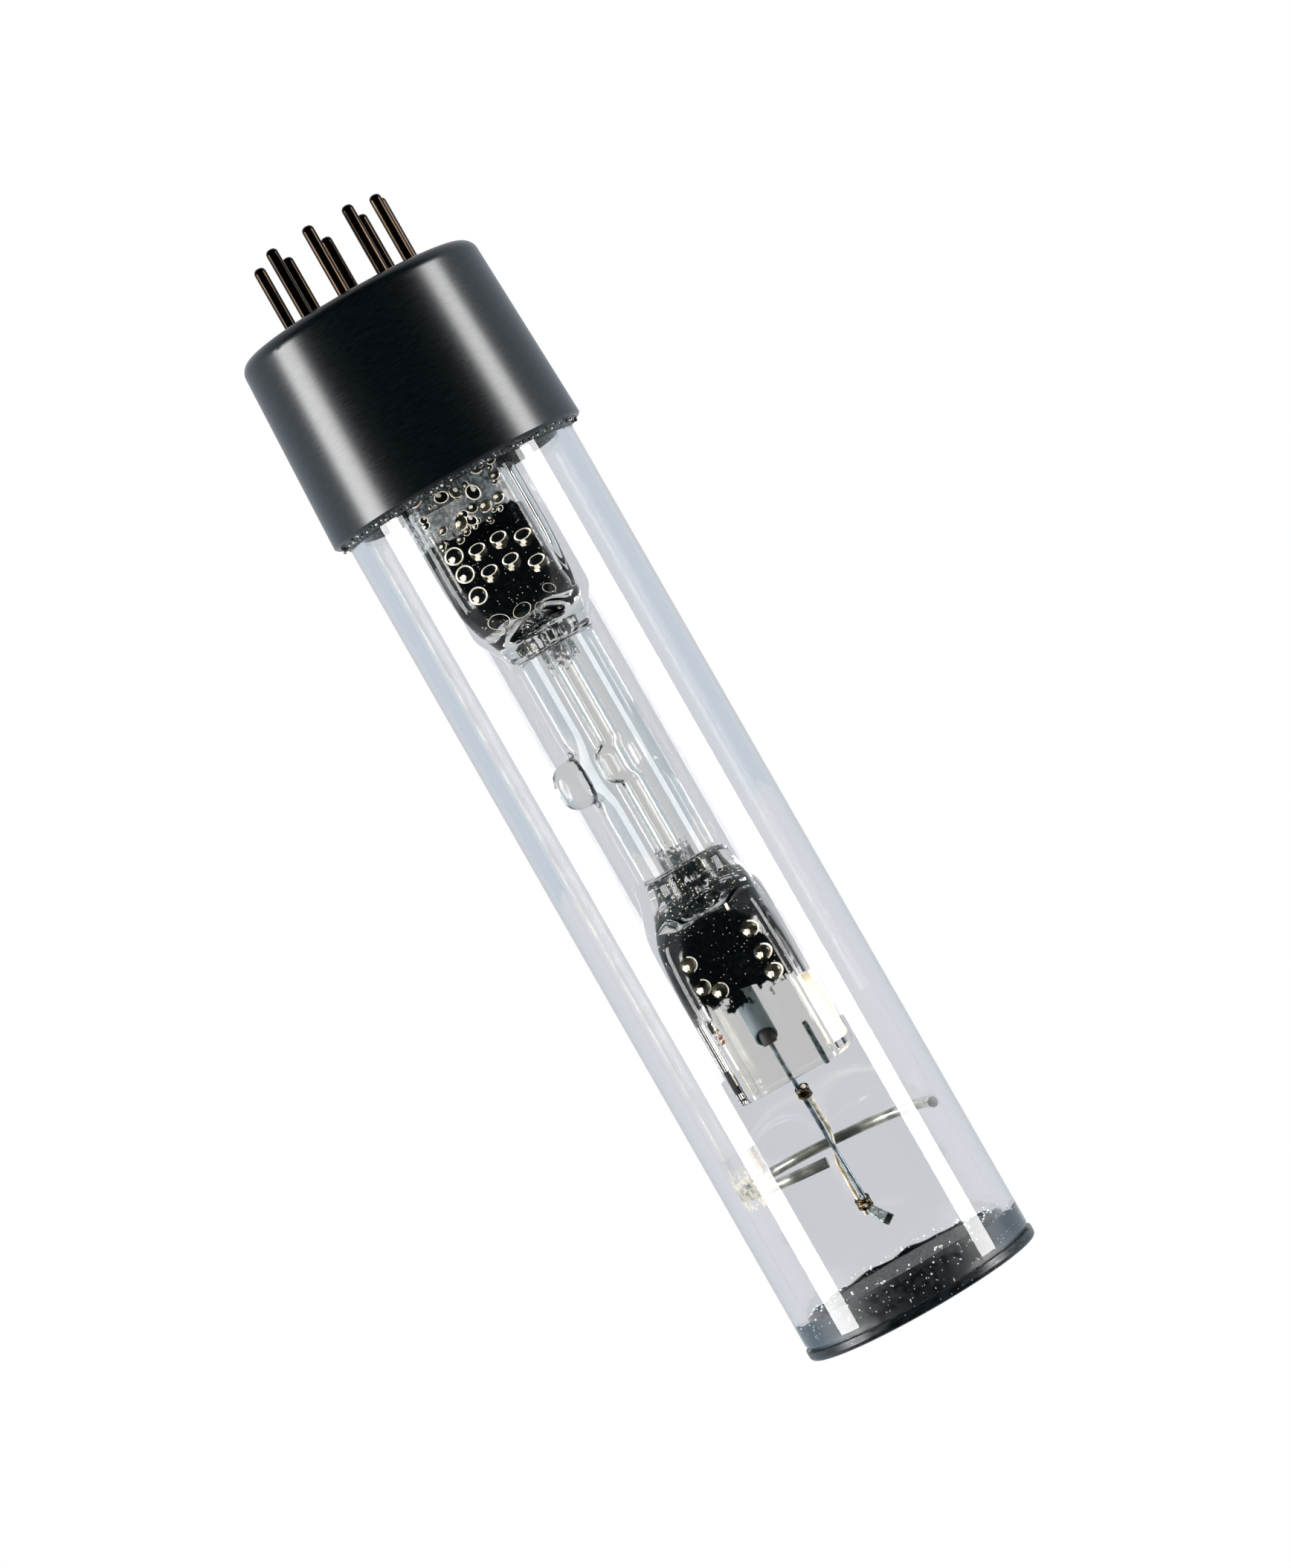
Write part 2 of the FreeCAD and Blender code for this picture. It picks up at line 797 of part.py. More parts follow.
def make_burner_holder():
    """Ceramic disc in the end of the tube, bored for the burner and the return lead."""
    low = burner_top - holder_thickness
    disc = Part.makeCylinder(tube_bore_radius - holder_fit, holder_thickness, Z_AXIS * low)
    seat = square_bar(upper, chamber_half + holder_fit, low, holder_thickness)
    hole = Part.makeCylinder(return_wire_diameter / 2 + holder_fit, holder_thickness,
                             return_place() + Z_AXIS * low)
    return disc.cut([seat, hole])


def make_upper_lead():
    """Wire from the upper electrode through its sleeve up to a pin."""
    pin = nearest_pin(Vector(upper.sleeve_x, 0, 0))
    return bent_wire([
        Vector(upper.sleeve_x, 0, upper.cup_apex + electrode_depth),
        Vector(upper.sleeve_x, 0, burner_top + wire_straight_above_holder),
        pin + Z_AXIS * (pin_bottom - wire_straight_below_pin),
        pin + Z_AXIS * (pin_bottom - lead_fit),
    ], lead_radius, lead_bend_radius)


parts = {
    "outer_tube": make_outer_tube(),
    "end_disc": make_end_disc(),
    "end_compound": make_end_compound(),
    "base_shell": make_base_shell(),
    "pin_carrier": make_pin_carrier(),
    "tube_cement": make_tube_cement(),
    "burner_holder": make_burner_holder(),
    "burner": make_burner(),
    "upper_cup": make_upper_cup(),
    "lower_cup": make_lower_cup(),
    "upper_bead": make_bead(upper),
    "lower_bead": make_bead(lower),
    "upper_sleeve": make_upper_sleeve(),
    "lower_sleeve": make_lower_sleeve(),
    "upper_electrode": make_electrode(upper),
    "lower_electrode": make_electrode(lower),
    "upper_lead": make_upper_lead(),
    "lower_lead": make_lower_lead(),
    "support_rod": make_support_rod(),
    "upper_clip": make_upper_clip(),
    "lower_clip": make_lower_clip(),
    "getter_tube": make_getter_tube(),
    "support_ring": make_support_ring(),
    "return_lead": make_return_lead(),
    "return_crimp": make_return_crimp(),
}
for number, place in enumerate(pin_spots(), 1):
    parts[f"contact_pin_{number}"] = make_pin(place)

os.makedirs("parts", exist_ok=True)
for name, shape in parts.items():
    shape.exportStep(f"parts/{name}.step")
    print(f"{name}: {shape.Volume:.2f} cubic mm, valid {shape.isValid()}")
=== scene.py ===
# %% [markdown]
# A discharge lamp for spectroscopy. A clear glass tube holds a smaller burner of quartz glass,
# a turned black base grips the tube, and nine pins stand on the base. The sizes and places come
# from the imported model, so this lesson only has to give each piece its finer shape and finish.

# %% The frame
import math
import random

import bmesh
import bpy
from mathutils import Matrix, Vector, noise


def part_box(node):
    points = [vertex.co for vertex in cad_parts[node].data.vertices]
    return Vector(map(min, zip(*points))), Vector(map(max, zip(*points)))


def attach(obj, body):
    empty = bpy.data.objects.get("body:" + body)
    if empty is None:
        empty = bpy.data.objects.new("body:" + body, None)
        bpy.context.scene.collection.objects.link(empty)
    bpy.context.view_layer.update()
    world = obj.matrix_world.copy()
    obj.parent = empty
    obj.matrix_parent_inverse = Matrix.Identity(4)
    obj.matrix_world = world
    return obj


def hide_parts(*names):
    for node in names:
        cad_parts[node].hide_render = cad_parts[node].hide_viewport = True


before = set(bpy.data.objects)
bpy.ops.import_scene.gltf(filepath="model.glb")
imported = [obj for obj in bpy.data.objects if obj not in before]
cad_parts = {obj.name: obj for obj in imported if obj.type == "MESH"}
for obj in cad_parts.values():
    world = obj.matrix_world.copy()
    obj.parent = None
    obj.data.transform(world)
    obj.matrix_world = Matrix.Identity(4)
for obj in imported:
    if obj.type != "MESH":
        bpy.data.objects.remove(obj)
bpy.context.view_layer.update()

MM = 0.001

# %% [markdown]
# The camera stands level with the middle of the lamp, 402 mm in front of its axis, and is rolled,
# so that the upright lamp leans to the left in the picture. The lens is a long one, which is
# what a product photographer would take to keep the tube's sides parallel.

# %% Camera
CAMERA_DISTANCE = 402 * MM
CAMERA_HEIGHT = 47.04 * MM
CAMERA_ASIDE = 1.06 * MM
CAMERA_ROLL = math.radians(29.75)
LENS_MM = 114.45
SENSOR_MM = 36.0

camera_data = bpy.data.cameras.new("camera")
camera_data.sensor_fit = "VERTICAL"
camera_data.sensor_height = SENSOR_MM
camera_data.lens = LENS_MM
camera_data.clip_start = 10 * MM
camera = bpy.data.objects.new("camera", camera_data)
camera.location = (CAMERA_ASIDE, -CAMERA_DISTANCE, CAMERA_HEIGHT)
camera.rotation_euler = (math.radians(90), CAMERA_ROLL, 0)
bpy.context.scene.collection.objects.link(camera)
bpy.context.scene.camera = camera
bpy.context.scene.view_settings.view_transform = "Standard"
print("camera at", tuple(camera.location))


# %% [markdown]
# Node trees are written by hand here, so a few small helpers come first. One turns a colour as it
# is read off a colour chart, in sRGB hex, into the linear numbers that shaders work with. Another
# adds a node, sets its options, and joins or sets its inputs.

# %% Helpers for colours and nodes
def colour(hex_text):
    """Linear colour with alpha from an sRGB hex text such as 8090a0."""
    linear = []
    for start in (0, 2, 4):
        share = int(hex_text[start:start + 2], 16) / 255
        linear.append(share / 12.92 if share <= 0.04045 else ((share + 0.055) / 1.055) ** 2.4)
    return (*linear, 1.0)


def node(tree, kind, inputs=None, **options):
    """Add a node. An input that is given a socket is linked to it, any other is set."""
    new = tree.nodes.new(kind)
    for name, value in options.items():
        setattr(new, name, value)
    for name, value in (inputs or {}).items():
        if isinstance(value, bpy.types.NodeSocket):
            tree.links.new(value, new.inputs[name])
        else:
            new.inputs[name].default_value = value
    return new


MIX_FIRST, MIX_SECOND, MIX_RESULT = 6, 7, 2


def mixed(tree, factor, first, second):
    """Colour output of a mix of two colours or colour sockets."""
    mix = node(tree, "ShaderNodeMix", {
        "Factor": factor, MIX_FIRST: first, MIX_SECOND: second}, data_type="RGBA")
    return mix.outputs[MIX_RESULT]


def times(tree, first, second):
    """Product of two values or sockets."""
    return node(tree, "ShaderNodeMath", {0: first, 1: second}, operation="MULTIPLY").outputs[0]


def ramp(tree, value, low, high, start=0.0, end=1.0):
    """Value that goes smoothly from start to end while its input goes from low to high."""
    return node(tree, "ShaderNodeMapRange", {
        "Value": value, "From Min": low, "From Max": high, "To Min": start, "To Max": end},
        interpolation_type="SMOOTHSTEP").outputs["Result"]


def object_noise(tree, grain_mm, stretch=(1, 1, 1), detail=3.0, kind="ShaderNodeTexNoise"):
    """Noise in grains of a real size, as a node. Stretch is the scale along x, y and z."""
    place = node(tree, "ShaderNodeTexCoord")
    spread = node(tree, "ShaderNodeMapping", {"Vector": place.outputs["Object"], "Scale": stretch})
    inputs = {"Vector": spread.outputs["Vector"], "Scale": 1 / (grain_mm * MM)}
    if kind == "ShaderNodeTexNoise":
        inputs["Detail"] = detail
    return node(tree, kind, inputs)


def new_material(name):
    """An empty material, its tree and its output node."""
    material = bpy.data.materials.new(name)
    material.use_nodes = True
    tree = material.node_tree
    tree.nodes.clear()
    return material, tree, tree.nodes.new("ShaderNodeOutputMaterial")


# %% [markdown]
# The light is that of a product table: two tall soft boxes stand well to the sides, a little in
# front of the lamp, and everything behind the camera is dark. That gives glass its white edges
# and keeps the black base black. The paper behind is white where the camera sees it straight,
# and a shade of grey where it is seen through the glass. Light that was mirrored inside the
# glass before it leaves sees the dark room again, which is what keeps the smoked cups black.

# %% Light
BACKDROP = "ffffff"
SEEN_THROUGH = "d6d8de"
SIDE_PAPER = "c3ced8"
DARK_ROOM = "10161a"
MIRRORED_ONCE = 0.5
BEHIND_FROM, BEHIND_TO = -0.25, 0.25
ASIDE_FROM, ASIDE_TO = 0.2, 0.5


def room_light(tree):
    """Colour of the surroundings for each kind of ray, by where the ray goes."""
    path = node(tree, "ShaderNodeLightPath")
    direction = node(tree, "ShaderNodeTexCoord")
    parts_of = node(tree, "ShaderNodeSeparateXYZ", {"Vector": direction.outputs["Generated"]})
    behind = ramp(tree, parts_of.outputs["Y"], BEHIND_FROM, BEHIND_TO)
    aside = node(tree, "ShaderNodeMath", {0: parts_of.outputs["X"]}, operation="ABSOLUTE")
    to_side = ramp(tree, aside.outputs[0], ASIDE_FROM, ASIDE_TO)
    paper = mixed(tree, to_side, colour(SEEN_THROUGH), colour(SIDE_PAPER))
    around = mixed(tree, behind, colour(DARK_ROOM), paper)
    clean = node(tree, "ShaderNodeMath", {
        0: path.outputs["Glossy Depth"], 1: MIRRORED_ONCE}, operation="LESS_THAN")
    seen = times(tree, path.outputs["Is Transmission Ray"], clean.outputs[0])
    through = mixed(tree, seen, around, paper)
    return mixed(tree, path.outputs["Is Camera Ray"], through, colour(BACKDROP))


world = bpy.data.worlds.new("studio")
bpy.context.scene.world = world
world.use_nodes = True
sky = world.node_tree
sky.nodes.clear()
sky_light = node(sky, "ShaderNodeBackground", {"Color": room_light(sky)})
node(sky, "ShaderNodeOutputWorld", {"Surface": sky_light.outputs["Background"]})

BOX_DISTANCE = 400 * MM
BOX_HEIGHT = 280 * MM
BOX_MIDDLE = 70 * MM
for side, angle, width_mm, power in (("left", -76.8, 158, 2.3), ("right", 75.5, 131, 1.8)):
    data = bpy.data.lights.new("softbox_" + side, "AREA")
    data.shape = "RECTANGLE"
    data.size = width_mm * MM
    data.size_y = BOX_HEIGHT
    data.energy = power
    box = bpy.data.objects.new("softbox_" + side, data)
    turn = math.radians(angle)
    box.location = (BOX_DISTANCE * math.sin(turn), -BOX_DISTANCE * math.cos(turn), BOX_MIDDLE)
    box.rotation_euler = (math.radians(90), 0, turn)
    box.visible_camera = False
    bpy.context.scene.collection.objects.link(box)
print("soft boxes:", BOX_HEIGHT / MM, "mm high")

# %% [markdown]
# The floor is a plain white table, as a sheet of paper or a light table would give. It is drawn
# by the same colours as the paper behind it, so no edge shows where one ends and the other
# starts. It is left out of mirrored light, because the soft boxes reach below the table top as
# they do beside a glass table, and its front half is dark for light mirrored inside the glass.

# %% Floor
FLOOR_SIZE = 6.0
FLOOR_GAP = 0.05 * MM
FLOOR_CHANGE = 30 * MM
floor_material, tree, out = new_material("white_table")
path = node(tree, "ShaderNodeLightPath")
mirrored = node(tree, "ShaderNodeMath", {
    0: path.outputs["Glossy Depth"], 1: MIRRORED_ONCE}, operation="GREATER_THAN")
place = node(tree, "ShaderNodeTexCoord")
parts_of = node(tree, "ShaderNodeSeparateXYZ", {"Vector": place.outputs["Object"]})
in_front = ramp(tree, parts_of.outputs["Y"], FLOOR_CHANGE, -FLOOR_CHANGE)
dark_half = times(tree, mirrored.outputs[0], in_front)
table = mixed(tree, dark_half, colour(SEEN_THROUGH), colour(DARK_ROOM))
table = mixed(tree, path.outputs["Is Camera Ray"], table, colour(BACKDROP))
glow = node(tree, "ShaderNodeEmission", {"Color": table})
tree.links.new(glow.outputs["Emission"], out.inputs["Surface"])
bpy.ops.mesh.primitive_plane_add(size=FLOOR_SIZE, location=(0, 0, -FLOOR_GAP))
floor = bpy.context.object
floor.name = "table_top"
floor.data.materials.append(floor_material)
floor.visible_glossy = False
floor.visible_shadow = False
print("floor:", floor.name)


# %% [markdown]
# Clear glass is one Principled shader with full transmission. Lamps are let through it: a shadow
# ray that meets the glass goes straight on, so the pieces inside are lit without the noise that
# light bent by glass would bring. Drawn tubing has fine lines along its length, and they show as
# faint streaks where it mirrors or bends light.

# %% Glass materials
def clear_glass(name, tint, ior, line_mm, line_depth, waver):
    """Glass that lets lamps through, with drawing lines of a width and a depth in mm."""
    material, tree, out = new_material(name)
    lines = object_noise(tree, line_mm, (1.0, 1.0, waver), 2.0)
    bump = node(tree, "ShaderNodeBump", {
        "Height": lines.outputs["Fac"], "Strength": 1.0, "Distance": line_depth * MM})
    glass = node(tree, "ShaderNodeBsdfPrincipled", {
        "Base Color": colour(tint), "Roughness": 0.0, "IOR": ior, "Transmission Weight": 1.0,
        "Normal": bump.outputs["Normal"]})
    path = node(tree, "ShaderNodeLightPath")
    clear = node(tree, "ShaderNodeBsdfTransparent")
    lamps = node(tree, "ShaderNodeMixShader", {0: path.outputs["Is Shadow Ray"]})
    tree.links.new(glass.outputs["BSDF"], lamps.inputs[1])
    tree.links.new(clear.outputs["BSDF"], lamps.inputs[2])
    tree.links.new(lamps.outputs["Shader"], out.inputs["Surface"])
    return material


borosilicate = clear_glass("borosilicate_drawn_tube", "ffffff", 1.47, 0.22, 0.00016, 0.0)
quartz = clear_glass("fused_quartz_blown", "fffefa", 1.46, 0.5, 0.0004, 0.01)
print("glass:", borosilicate.name, quartz.name)


# %% [markdown]
# The other finishes are Principled surfaces whose colour and gloss wander between two tones. One
# function makes them all, from the grain's real size, its stretch and depth, and the share of
# the surface that bright specks of dust and chips cover.

# %% A function for opaque materials
SPECK_EDGE, SPECK_CORE = 0.42, 0.3


def speckled(tree, tone, specks):
    """Tone with bright specks on it: (colour, size in mm, share of the surface)."""
    speck_colour, speck_mm, speck_share = specks
    cells = object_noise(tree, speck_mm, kind="ShaderNodeTexVoronoi")
    chosen = node(tree, "ShaderNodeSeparateXYZ", {"Vector": cells.outputs["Color"]})
    rare = node(tree, "ShaderNodeMath", {
        0: chosen.outputs["X"], 1: speck_share}, operation="LESS_THAN")
    spot = ramp(tree, cells.outputs["Distance"], SPECK_EDGE, SPECK_CORE)
    return mixed(tree, times(tree, spot, rare.outputs[0]), tone, colour(speck_colour))


def surface(name, dark, light, grain_mm, rough, metal=0.0, stretch=(1, 1, 1), depth=0.0,
            specks=None, contrast=(0.3, 0.7), painted_side_sheen=None):
    """Material from two tones in grains, with specks, and a painted sheen colour beyond a distance
    from x 0.
    """
    material, tree, out = new_material(name)
    grain = object_noise(tree, grain_mm, stretch, 4.0)
    share = ramp(tree, grain.outputs["Fac"], *contrast)
    tone = mixed(tree, share, colour(dark), colour(light))
    gloss = node(tree, "ShaderNodeMapRange", {
        "Value": share, "To Min": rough[0], "To Max": rough[1]})
    shader = node(tree, "ShaderNodeBsdfPrincipled", {
        "Roughness": gloss.outputs["Result"], "Metallic": metal})
    if painted_side_sheen:
        place = node(tree, "ShaderNodeTexCoord")
        parts_of = node(tree, "ShaderNodeSeparateXYZ", {"Vector": place.outputs["Object"]})
        aside = node(tree, "ShaderNodeMath", {0: parts_of.outputs["X"]}, operation="ABSOLUTE")
        # Share of the painted side sheen, rising with the distance from x 0.
        far = ramp(tree, aside.outputs[0], painted_side_sheen[1] * MM, painted_side_sheen[2] * MM)
        tone = mixed(tree, far, tone, colour(painted_side_sheen[0]))
    if specks:
        tone = speckled(tree, tone, specks)
    tree.links.new(tone, shader.inputs["Base Color"])
    if depth:
        bump = node(tree, "ShaderNodeBump", {
            "Height": grain.outputs["Fac"], "Strength": 1.0, "Distance": depth * MM})
        tree.links.new(bump.outputs["Normal"], shader.inputs["Normal"])
    tree.links.new(shader.outputs["BSDF"], out.inputs["Surface"])
    return material


print("opaque materials come from", surface.__name__)

# %% [markdown]
# The base is anodised aluminium off a lathe, so its fine marks run round about. Disc, compound
# and cement are dull and black with pale crumbs in them. Metals are named for what the piece
# is on the real lamp, and most of them look tarnished by the heat.

# %% Opaque materials
ROUND_ABOUT = (0.08, 0.08, 1.0)
black_base = surface("black_anodised_turned", "04080a", "0a1216", 0.07, (0.235, 0.275),
                     stretch=ROUND_ABOUT, depth=0.0006)
black_carrier = surface("black_moulded_phenolic", "050708", "0b1012", 0.3, (0.4, 0.55), depth=0.003)
black_disc = surface("black_pressed_disc", "070b0d", "161f24", 0.4, (0.22, 0.4),
                     stretch=(0.3, 0.3, 1.0), depth=0.006, specks=("8c98a0", 0.16, 0.02))
black_compound = surface("poured_black_compound", "020304", "0a1013", 0.35, (0.45, 0.7),
                         depth=0.05, specks=("dce4e6", 0.17, 0.045))
white_crumb = surface("chalky_crumb", "9aa4a6", "f4f4ee", 0.15, (0.6, 0.9), depth=0.02)
dark_cement = surface("lamp_cement", "06090a", "9aa4a4", 0.16, (0.4, 0.9), depth=0.06,
                      contrast=(0.55, 0.7))
rust = surface("rust_crumb", "3a1a0c", "9a5a2c", 0.1, (0.6, 0.9), depth=0.02)
# Cream paint that stands for a highlight on the glass of the skirt's right wall.
painted_cream_highlight = surface("painted_cream_highlight", "d8c8a0", "fffbf0", 0.5, (0.3, 0.6), stretch=(1, 1, 0.3))
# A cream finish. On the stubs and drops it paints their rims and glints as highlights.
cream_and_glint_paint = surface("cream_finish_and_painted_glint", "d8ccb4", "fffaf0", 0.3, (0.3, 0.5), 0.2)
# Near-black paint for the sunk well of a stub: painted shade in the hollow.
well_shade_paint = surface("painted_well_shade", "010202", "0a0e10", 0.3, (0.1, 0.2))
smoked_cup = surface("smoked_glossy_cup", "010202", "05080a", 0.5, (0.05, 0.16),
                     specks=("c8ccc4", 0.085, 0.03))
stub_metal = surface("bare_stub_metal", "1c1d1c", "84806f", 0.9, (0.14, 0.26), 0.9)
# Near-black paint for the shade inside the open sleeve.
painted_shade_black = surface("painted_shade_black", "010101", "040506", 0.5, (0.7, 0.85))
# The compound's edge turns blue-grey beyond 6.3 mm from the middle: a painted sheen for light
# grazing the glass at the tube's sides.
black_rim = surface("compound_at_glass", "010203", "0a1014", 0.5, (0.3, 0.5), depth=0.008,
                    specks=("e8eef0", 0.09, 0.02), painted_side_sheen=("142630", 6.3, 7.0))
nickel_pin = surface("tarnished_nickel_pin", "14110f", "3e3226", 2.5, (0.14, 0.24), 1.0,
                     stretch=(1, 1, 0.3))
steel_ring = surface("spring_steel_wire", "7c807a", "c4c4b8", 1.6, (0.16, 0.26), 0.9)
lead_wire = surface("nickel_lead_wire", "2e3c44", "9aa8ae", 0.6, (0.16, 0.28), 0.85,
                    stretch=(1, 1, 0.3))
rod_wire = surface("tarnished_support_wire", "a08c68", "f6f0e0", 0.5, (0.2, 0.3), 0.4,
                   stretch=(1, 1, 0.3))
dark_clip = surface("oxidised_clip", "100d0a", "6a5a44", 0.25, (0.2, 0.5), 1.0)
getter_steel = surface("nickel_getter_tube", "8a9494", "ccd2cc", 0.3, (0.25, 0.4), 1.0)
sleeve_steel = surface("molybdenum_sleeve", "38454b", "46555c", 0.9, (0.6, 0.7),
                       stretch=(1, 1, 0.3))
ceramic = surface("smoked_ceramic", "030506", "141c20", 0.8, (0.4, 0.8), contrast=(0.35, 0.65))
bead_glass = surface("graded_glass_bead", "101618", "3a464a", 0.3, (0.05, 0.2))
tungsten = surface("tungsten_coil", "14161a", "3a3e44", 0.2, (0.3, 0.5), 1.0)
print("opaque materials:", black_base.name, "to", tungsten.name)

# %% [markdown]
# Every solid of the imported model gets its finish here, by its name in the frame. Only the nine
# pins aren't in the list, so each name that is missing there is a pin.

# %% Finishes of the solids
FINISH = {
    "outer_tube": borosilicate, "burner": quartz, "end_disc": black_disc,
    "end_compound": black_compound, "base_shell": black_base, "pin_carrier": black_carrier,
    "tube_cement": dark_cement, "burner_holder": ceramic, "upper_cup": smoked_cup,
    "lower_cup": smoked_cup, "upper_bead": bead_glass, "lower_bead": bead_glass,
    "upper_sleeve": sleeve_steel, "lower_sleeve": sleeve_steel, "upper_electrode": tungsten,
    "lower_electrode": tungsten, "upper_lead": lead_wire, "lower_lead": lead_wire,
    "support_rod": rod_wire, "upper_clip": dark_clip, "lower_clip": dark_clip,
    "getter_tube": getter_steel, "support_ring": steel_ring, "return_lead": rod_wire,
    "return_crimp": dark_clip,
}
for name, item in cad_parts.items():
    finish = FINISH.get(name, nickel_pin)
    for slot in item.material_slots:
        slot.material = finish
print("finishes:", len(FINISH))

# %% [markdown]
# Smoke is metal and soot that the discharge has driven on to the glass. It is a thin skin of its
# own, and its opacity comes from noise: torn patches of clear glass, dark clouds and an edge
# where the film thins out.

# %% Smoke materials
EVERYWHERE = (60.0, 50.0)
FADE_WEIGHT = 0.35
TEAR_LOW, TEAR_HIGH = 0.02, 0.03
VEIL_FROM, VEIL_TO = 0.3, 0.62
TONE_FROM, TONE_TO = 0.4, 0.65
FINE_SHARE = 1 / 5


def smoke(name, tones, grain_mm, heights, cut, veil, side=EVERYWHERE, specks=None, gloss=0.35):
    """Torn film, dense at one height and gone at the other, and gone beyond an x. All in mm."""
    material, tree, out = new_material(name)
    place = node(tree, "ShaderNodeTexCoord")
    parts_of = node(tree, "ShaderNodeSeparateXYZ", {"Vector": place.outputs["Object"]})
    gone_mm, dense_mm = heights
    fade = ramp(tree, parts_of.outputs["Z"], gone_mm * MM, dense_mm * MM)
    clouds = object_noise(tree, grain_mm, detail=6.0)
    raised = node(tree, "ShaderNodeMath", {
        0: clouds.outputs["Fac"], 1: times(tree, fade, FADE_WEIGHT)}, operation="ADD")
    torn = ramp(tree, raised.outputs[0], cut - TEAR_LOW, cut + TEAR_HIGH)
    near_side = ramp(tree, parts_of.outputs["X"], side[0] * MM, side[1] * MM)
    fine = object_noise(tree, grain_mm * FINE_SHARE, detail=4.0)
    thin = ramp(tree, fine.outputs["Fac"], VEIL_FROM, VEIL_TO, *veil)
    shade = ramp(tree, fine.outputs["Fac"], TONE_FROM, TONE_TO)
    tone = mixed(tree, shade, *[colour(hex_text) for hex_text in tones])
    if specks:
        tone = speckled(tree, tone, specks)
    opacity = times(tree, times(tree, torn, near_side), thin)
    shader = node(tree, "ShaderNodeBsdfPrincipled", {
        "Base Color": tone, "Roughness": gloss, "Alpha": opacity})
    tree.links.new(shader.outputs["BSDF"], out.inputs["Surface"])
    return material


BLACK_FILM = ("010202", "06090b")
BORE_FILM = ("06080a", "3a4448")
GREY_FILM = ("101618", "7a8388")
TEAL_FILM = ("010303", "10191b")
upper_film = smoke("black_film_upper", BLACK_FILM, 1.2, (72.4, 71.0), 0.6, (1.0, 1.0),
                   side=(3.5, 3.1), specks=("d4ccb4", 0.1, 0.035), gloss=0.12)
lower_film = smoke("black_film_lower", BLACK_FILM, 1.6, (27.0, 31.2), 0.62, (1.0, 1.0),
                   side=(3.9, 3.6), specks=("d4ccb4", 0.1, 0.03), gloss=0.12)
neck_film = smoke("mottled_film_neck", TEAL_FILM, 0.8, (0.0, 1.0), 0.8, (0.9, 1.0),
                  specks=("d6c8a0", 0.14, 0.1), gloss=0.15)
upper_smoke = smoke("grey_film_upper", GREY_FILM, 1.5, (86.0, 70.0), 0.74, (0.35, 0.85),
                    side=(3.3, 2.9))
bore_smoke = smoke("film_in_bore", BORE_FILM, 0.5, (56.8, 60.4), 0.76, (0.35, 0.95))
low_bore_smoke = smoke("film_in_low_bore", BORE_FILM, 0.4, (43.4, 40.0), 0.76, (0.35, 0.95))
gold_stain = smoke("golden_stain", ("8a7c60", "d0c4a8"), 0.4, (18.5, 15.5), 0.84, (0.1, 0.4),
                   side=(-5.4, -6.3), specks=("f4e8c8", 0.2, 0.1))
print("smoke:", upper_film.name, upper_smoke.name)


# %% [markdown]
# Round pieces are made as on a lathe: a ring of edges is added at the first point of the outline
# and drawn out from point to point. Where the glass was pressed square while it was hot, each
# ring is brought to the rounded square as it is drawn. A long straight run gets a ring close to
# each end, because smooth shading would otherwise bend the light along all of it.

# %% A helper for turned pieces
HOLD_FROM = 1.0
HOLD_GAP = 0.02
SOFT_MEETING = 0.5
CORNER_CUT = 2.95
SAME_POINT = 0.0005 * MM


def held(rings):
    """Add a ring close to each end of a long straight run, so that its shading stays straight."""
    points = rings[:1]
    for before, after in zip(rings, rings[1:]):
        length = math.dist(before[:3], after[:3])
        if length > HOLD_FROM:
            for share in (HOLD_GAP / length, 1 - HOLD_GAP / length):
                mixed_ring = tuple(a + (b - a) * share for a, b in zip(before[:3], after[:3]))
                points.append(mixed_ring + tuple(after[3:]))
        points.append(after)
    return points


def square_reach(turn, half):
    """Distance from the middle to a rounded square's side in a direction."""
    across, along = abs(math.cos(turn)), abs(math.sin(turn))
    radius = half - CORNER_CUT
    if half * along <= CORNER_CUT * across:
        return half / across
    if half * across <= CORNER_CUT * along:
        return half / along
    onward = CORNER_CUT * (across + along)
    return onward + math.sqrt(max(onward ** 2 - 2 * CORNER_CUT ** 2 + radius ** 2, 0))


def soft_min(first, second):
    """The smaller of two sizes, with a soft change from one to the other."""
    near = max(SOFT_MEETING - abs(first - second), 0) / SOFT_MEETING
    return min(first, second) - near ** 2 * SOFT_MEETING / 4


def shape_ring(ring):
    """Bring the selected ring of vertices to its radius, pressed square if it has a half width."""
    radius, _, aside, half, skew = ring
    mesh = bmesh.from_edit_mesh(bpy.context.object.data)
    for vertex in mesh.verts:
        if vertex.select:
            turn = math.atan2(vertex.co.y, vertex.co.x - aside * MM)
            reach = soft_min(radius, square_reach(turn - skew, half)) if half else radius
            vertex.co.x = (aside + reach * math.cos(turn)) * MM
            vertex.co.y = reach * math.sin(turn) * MM


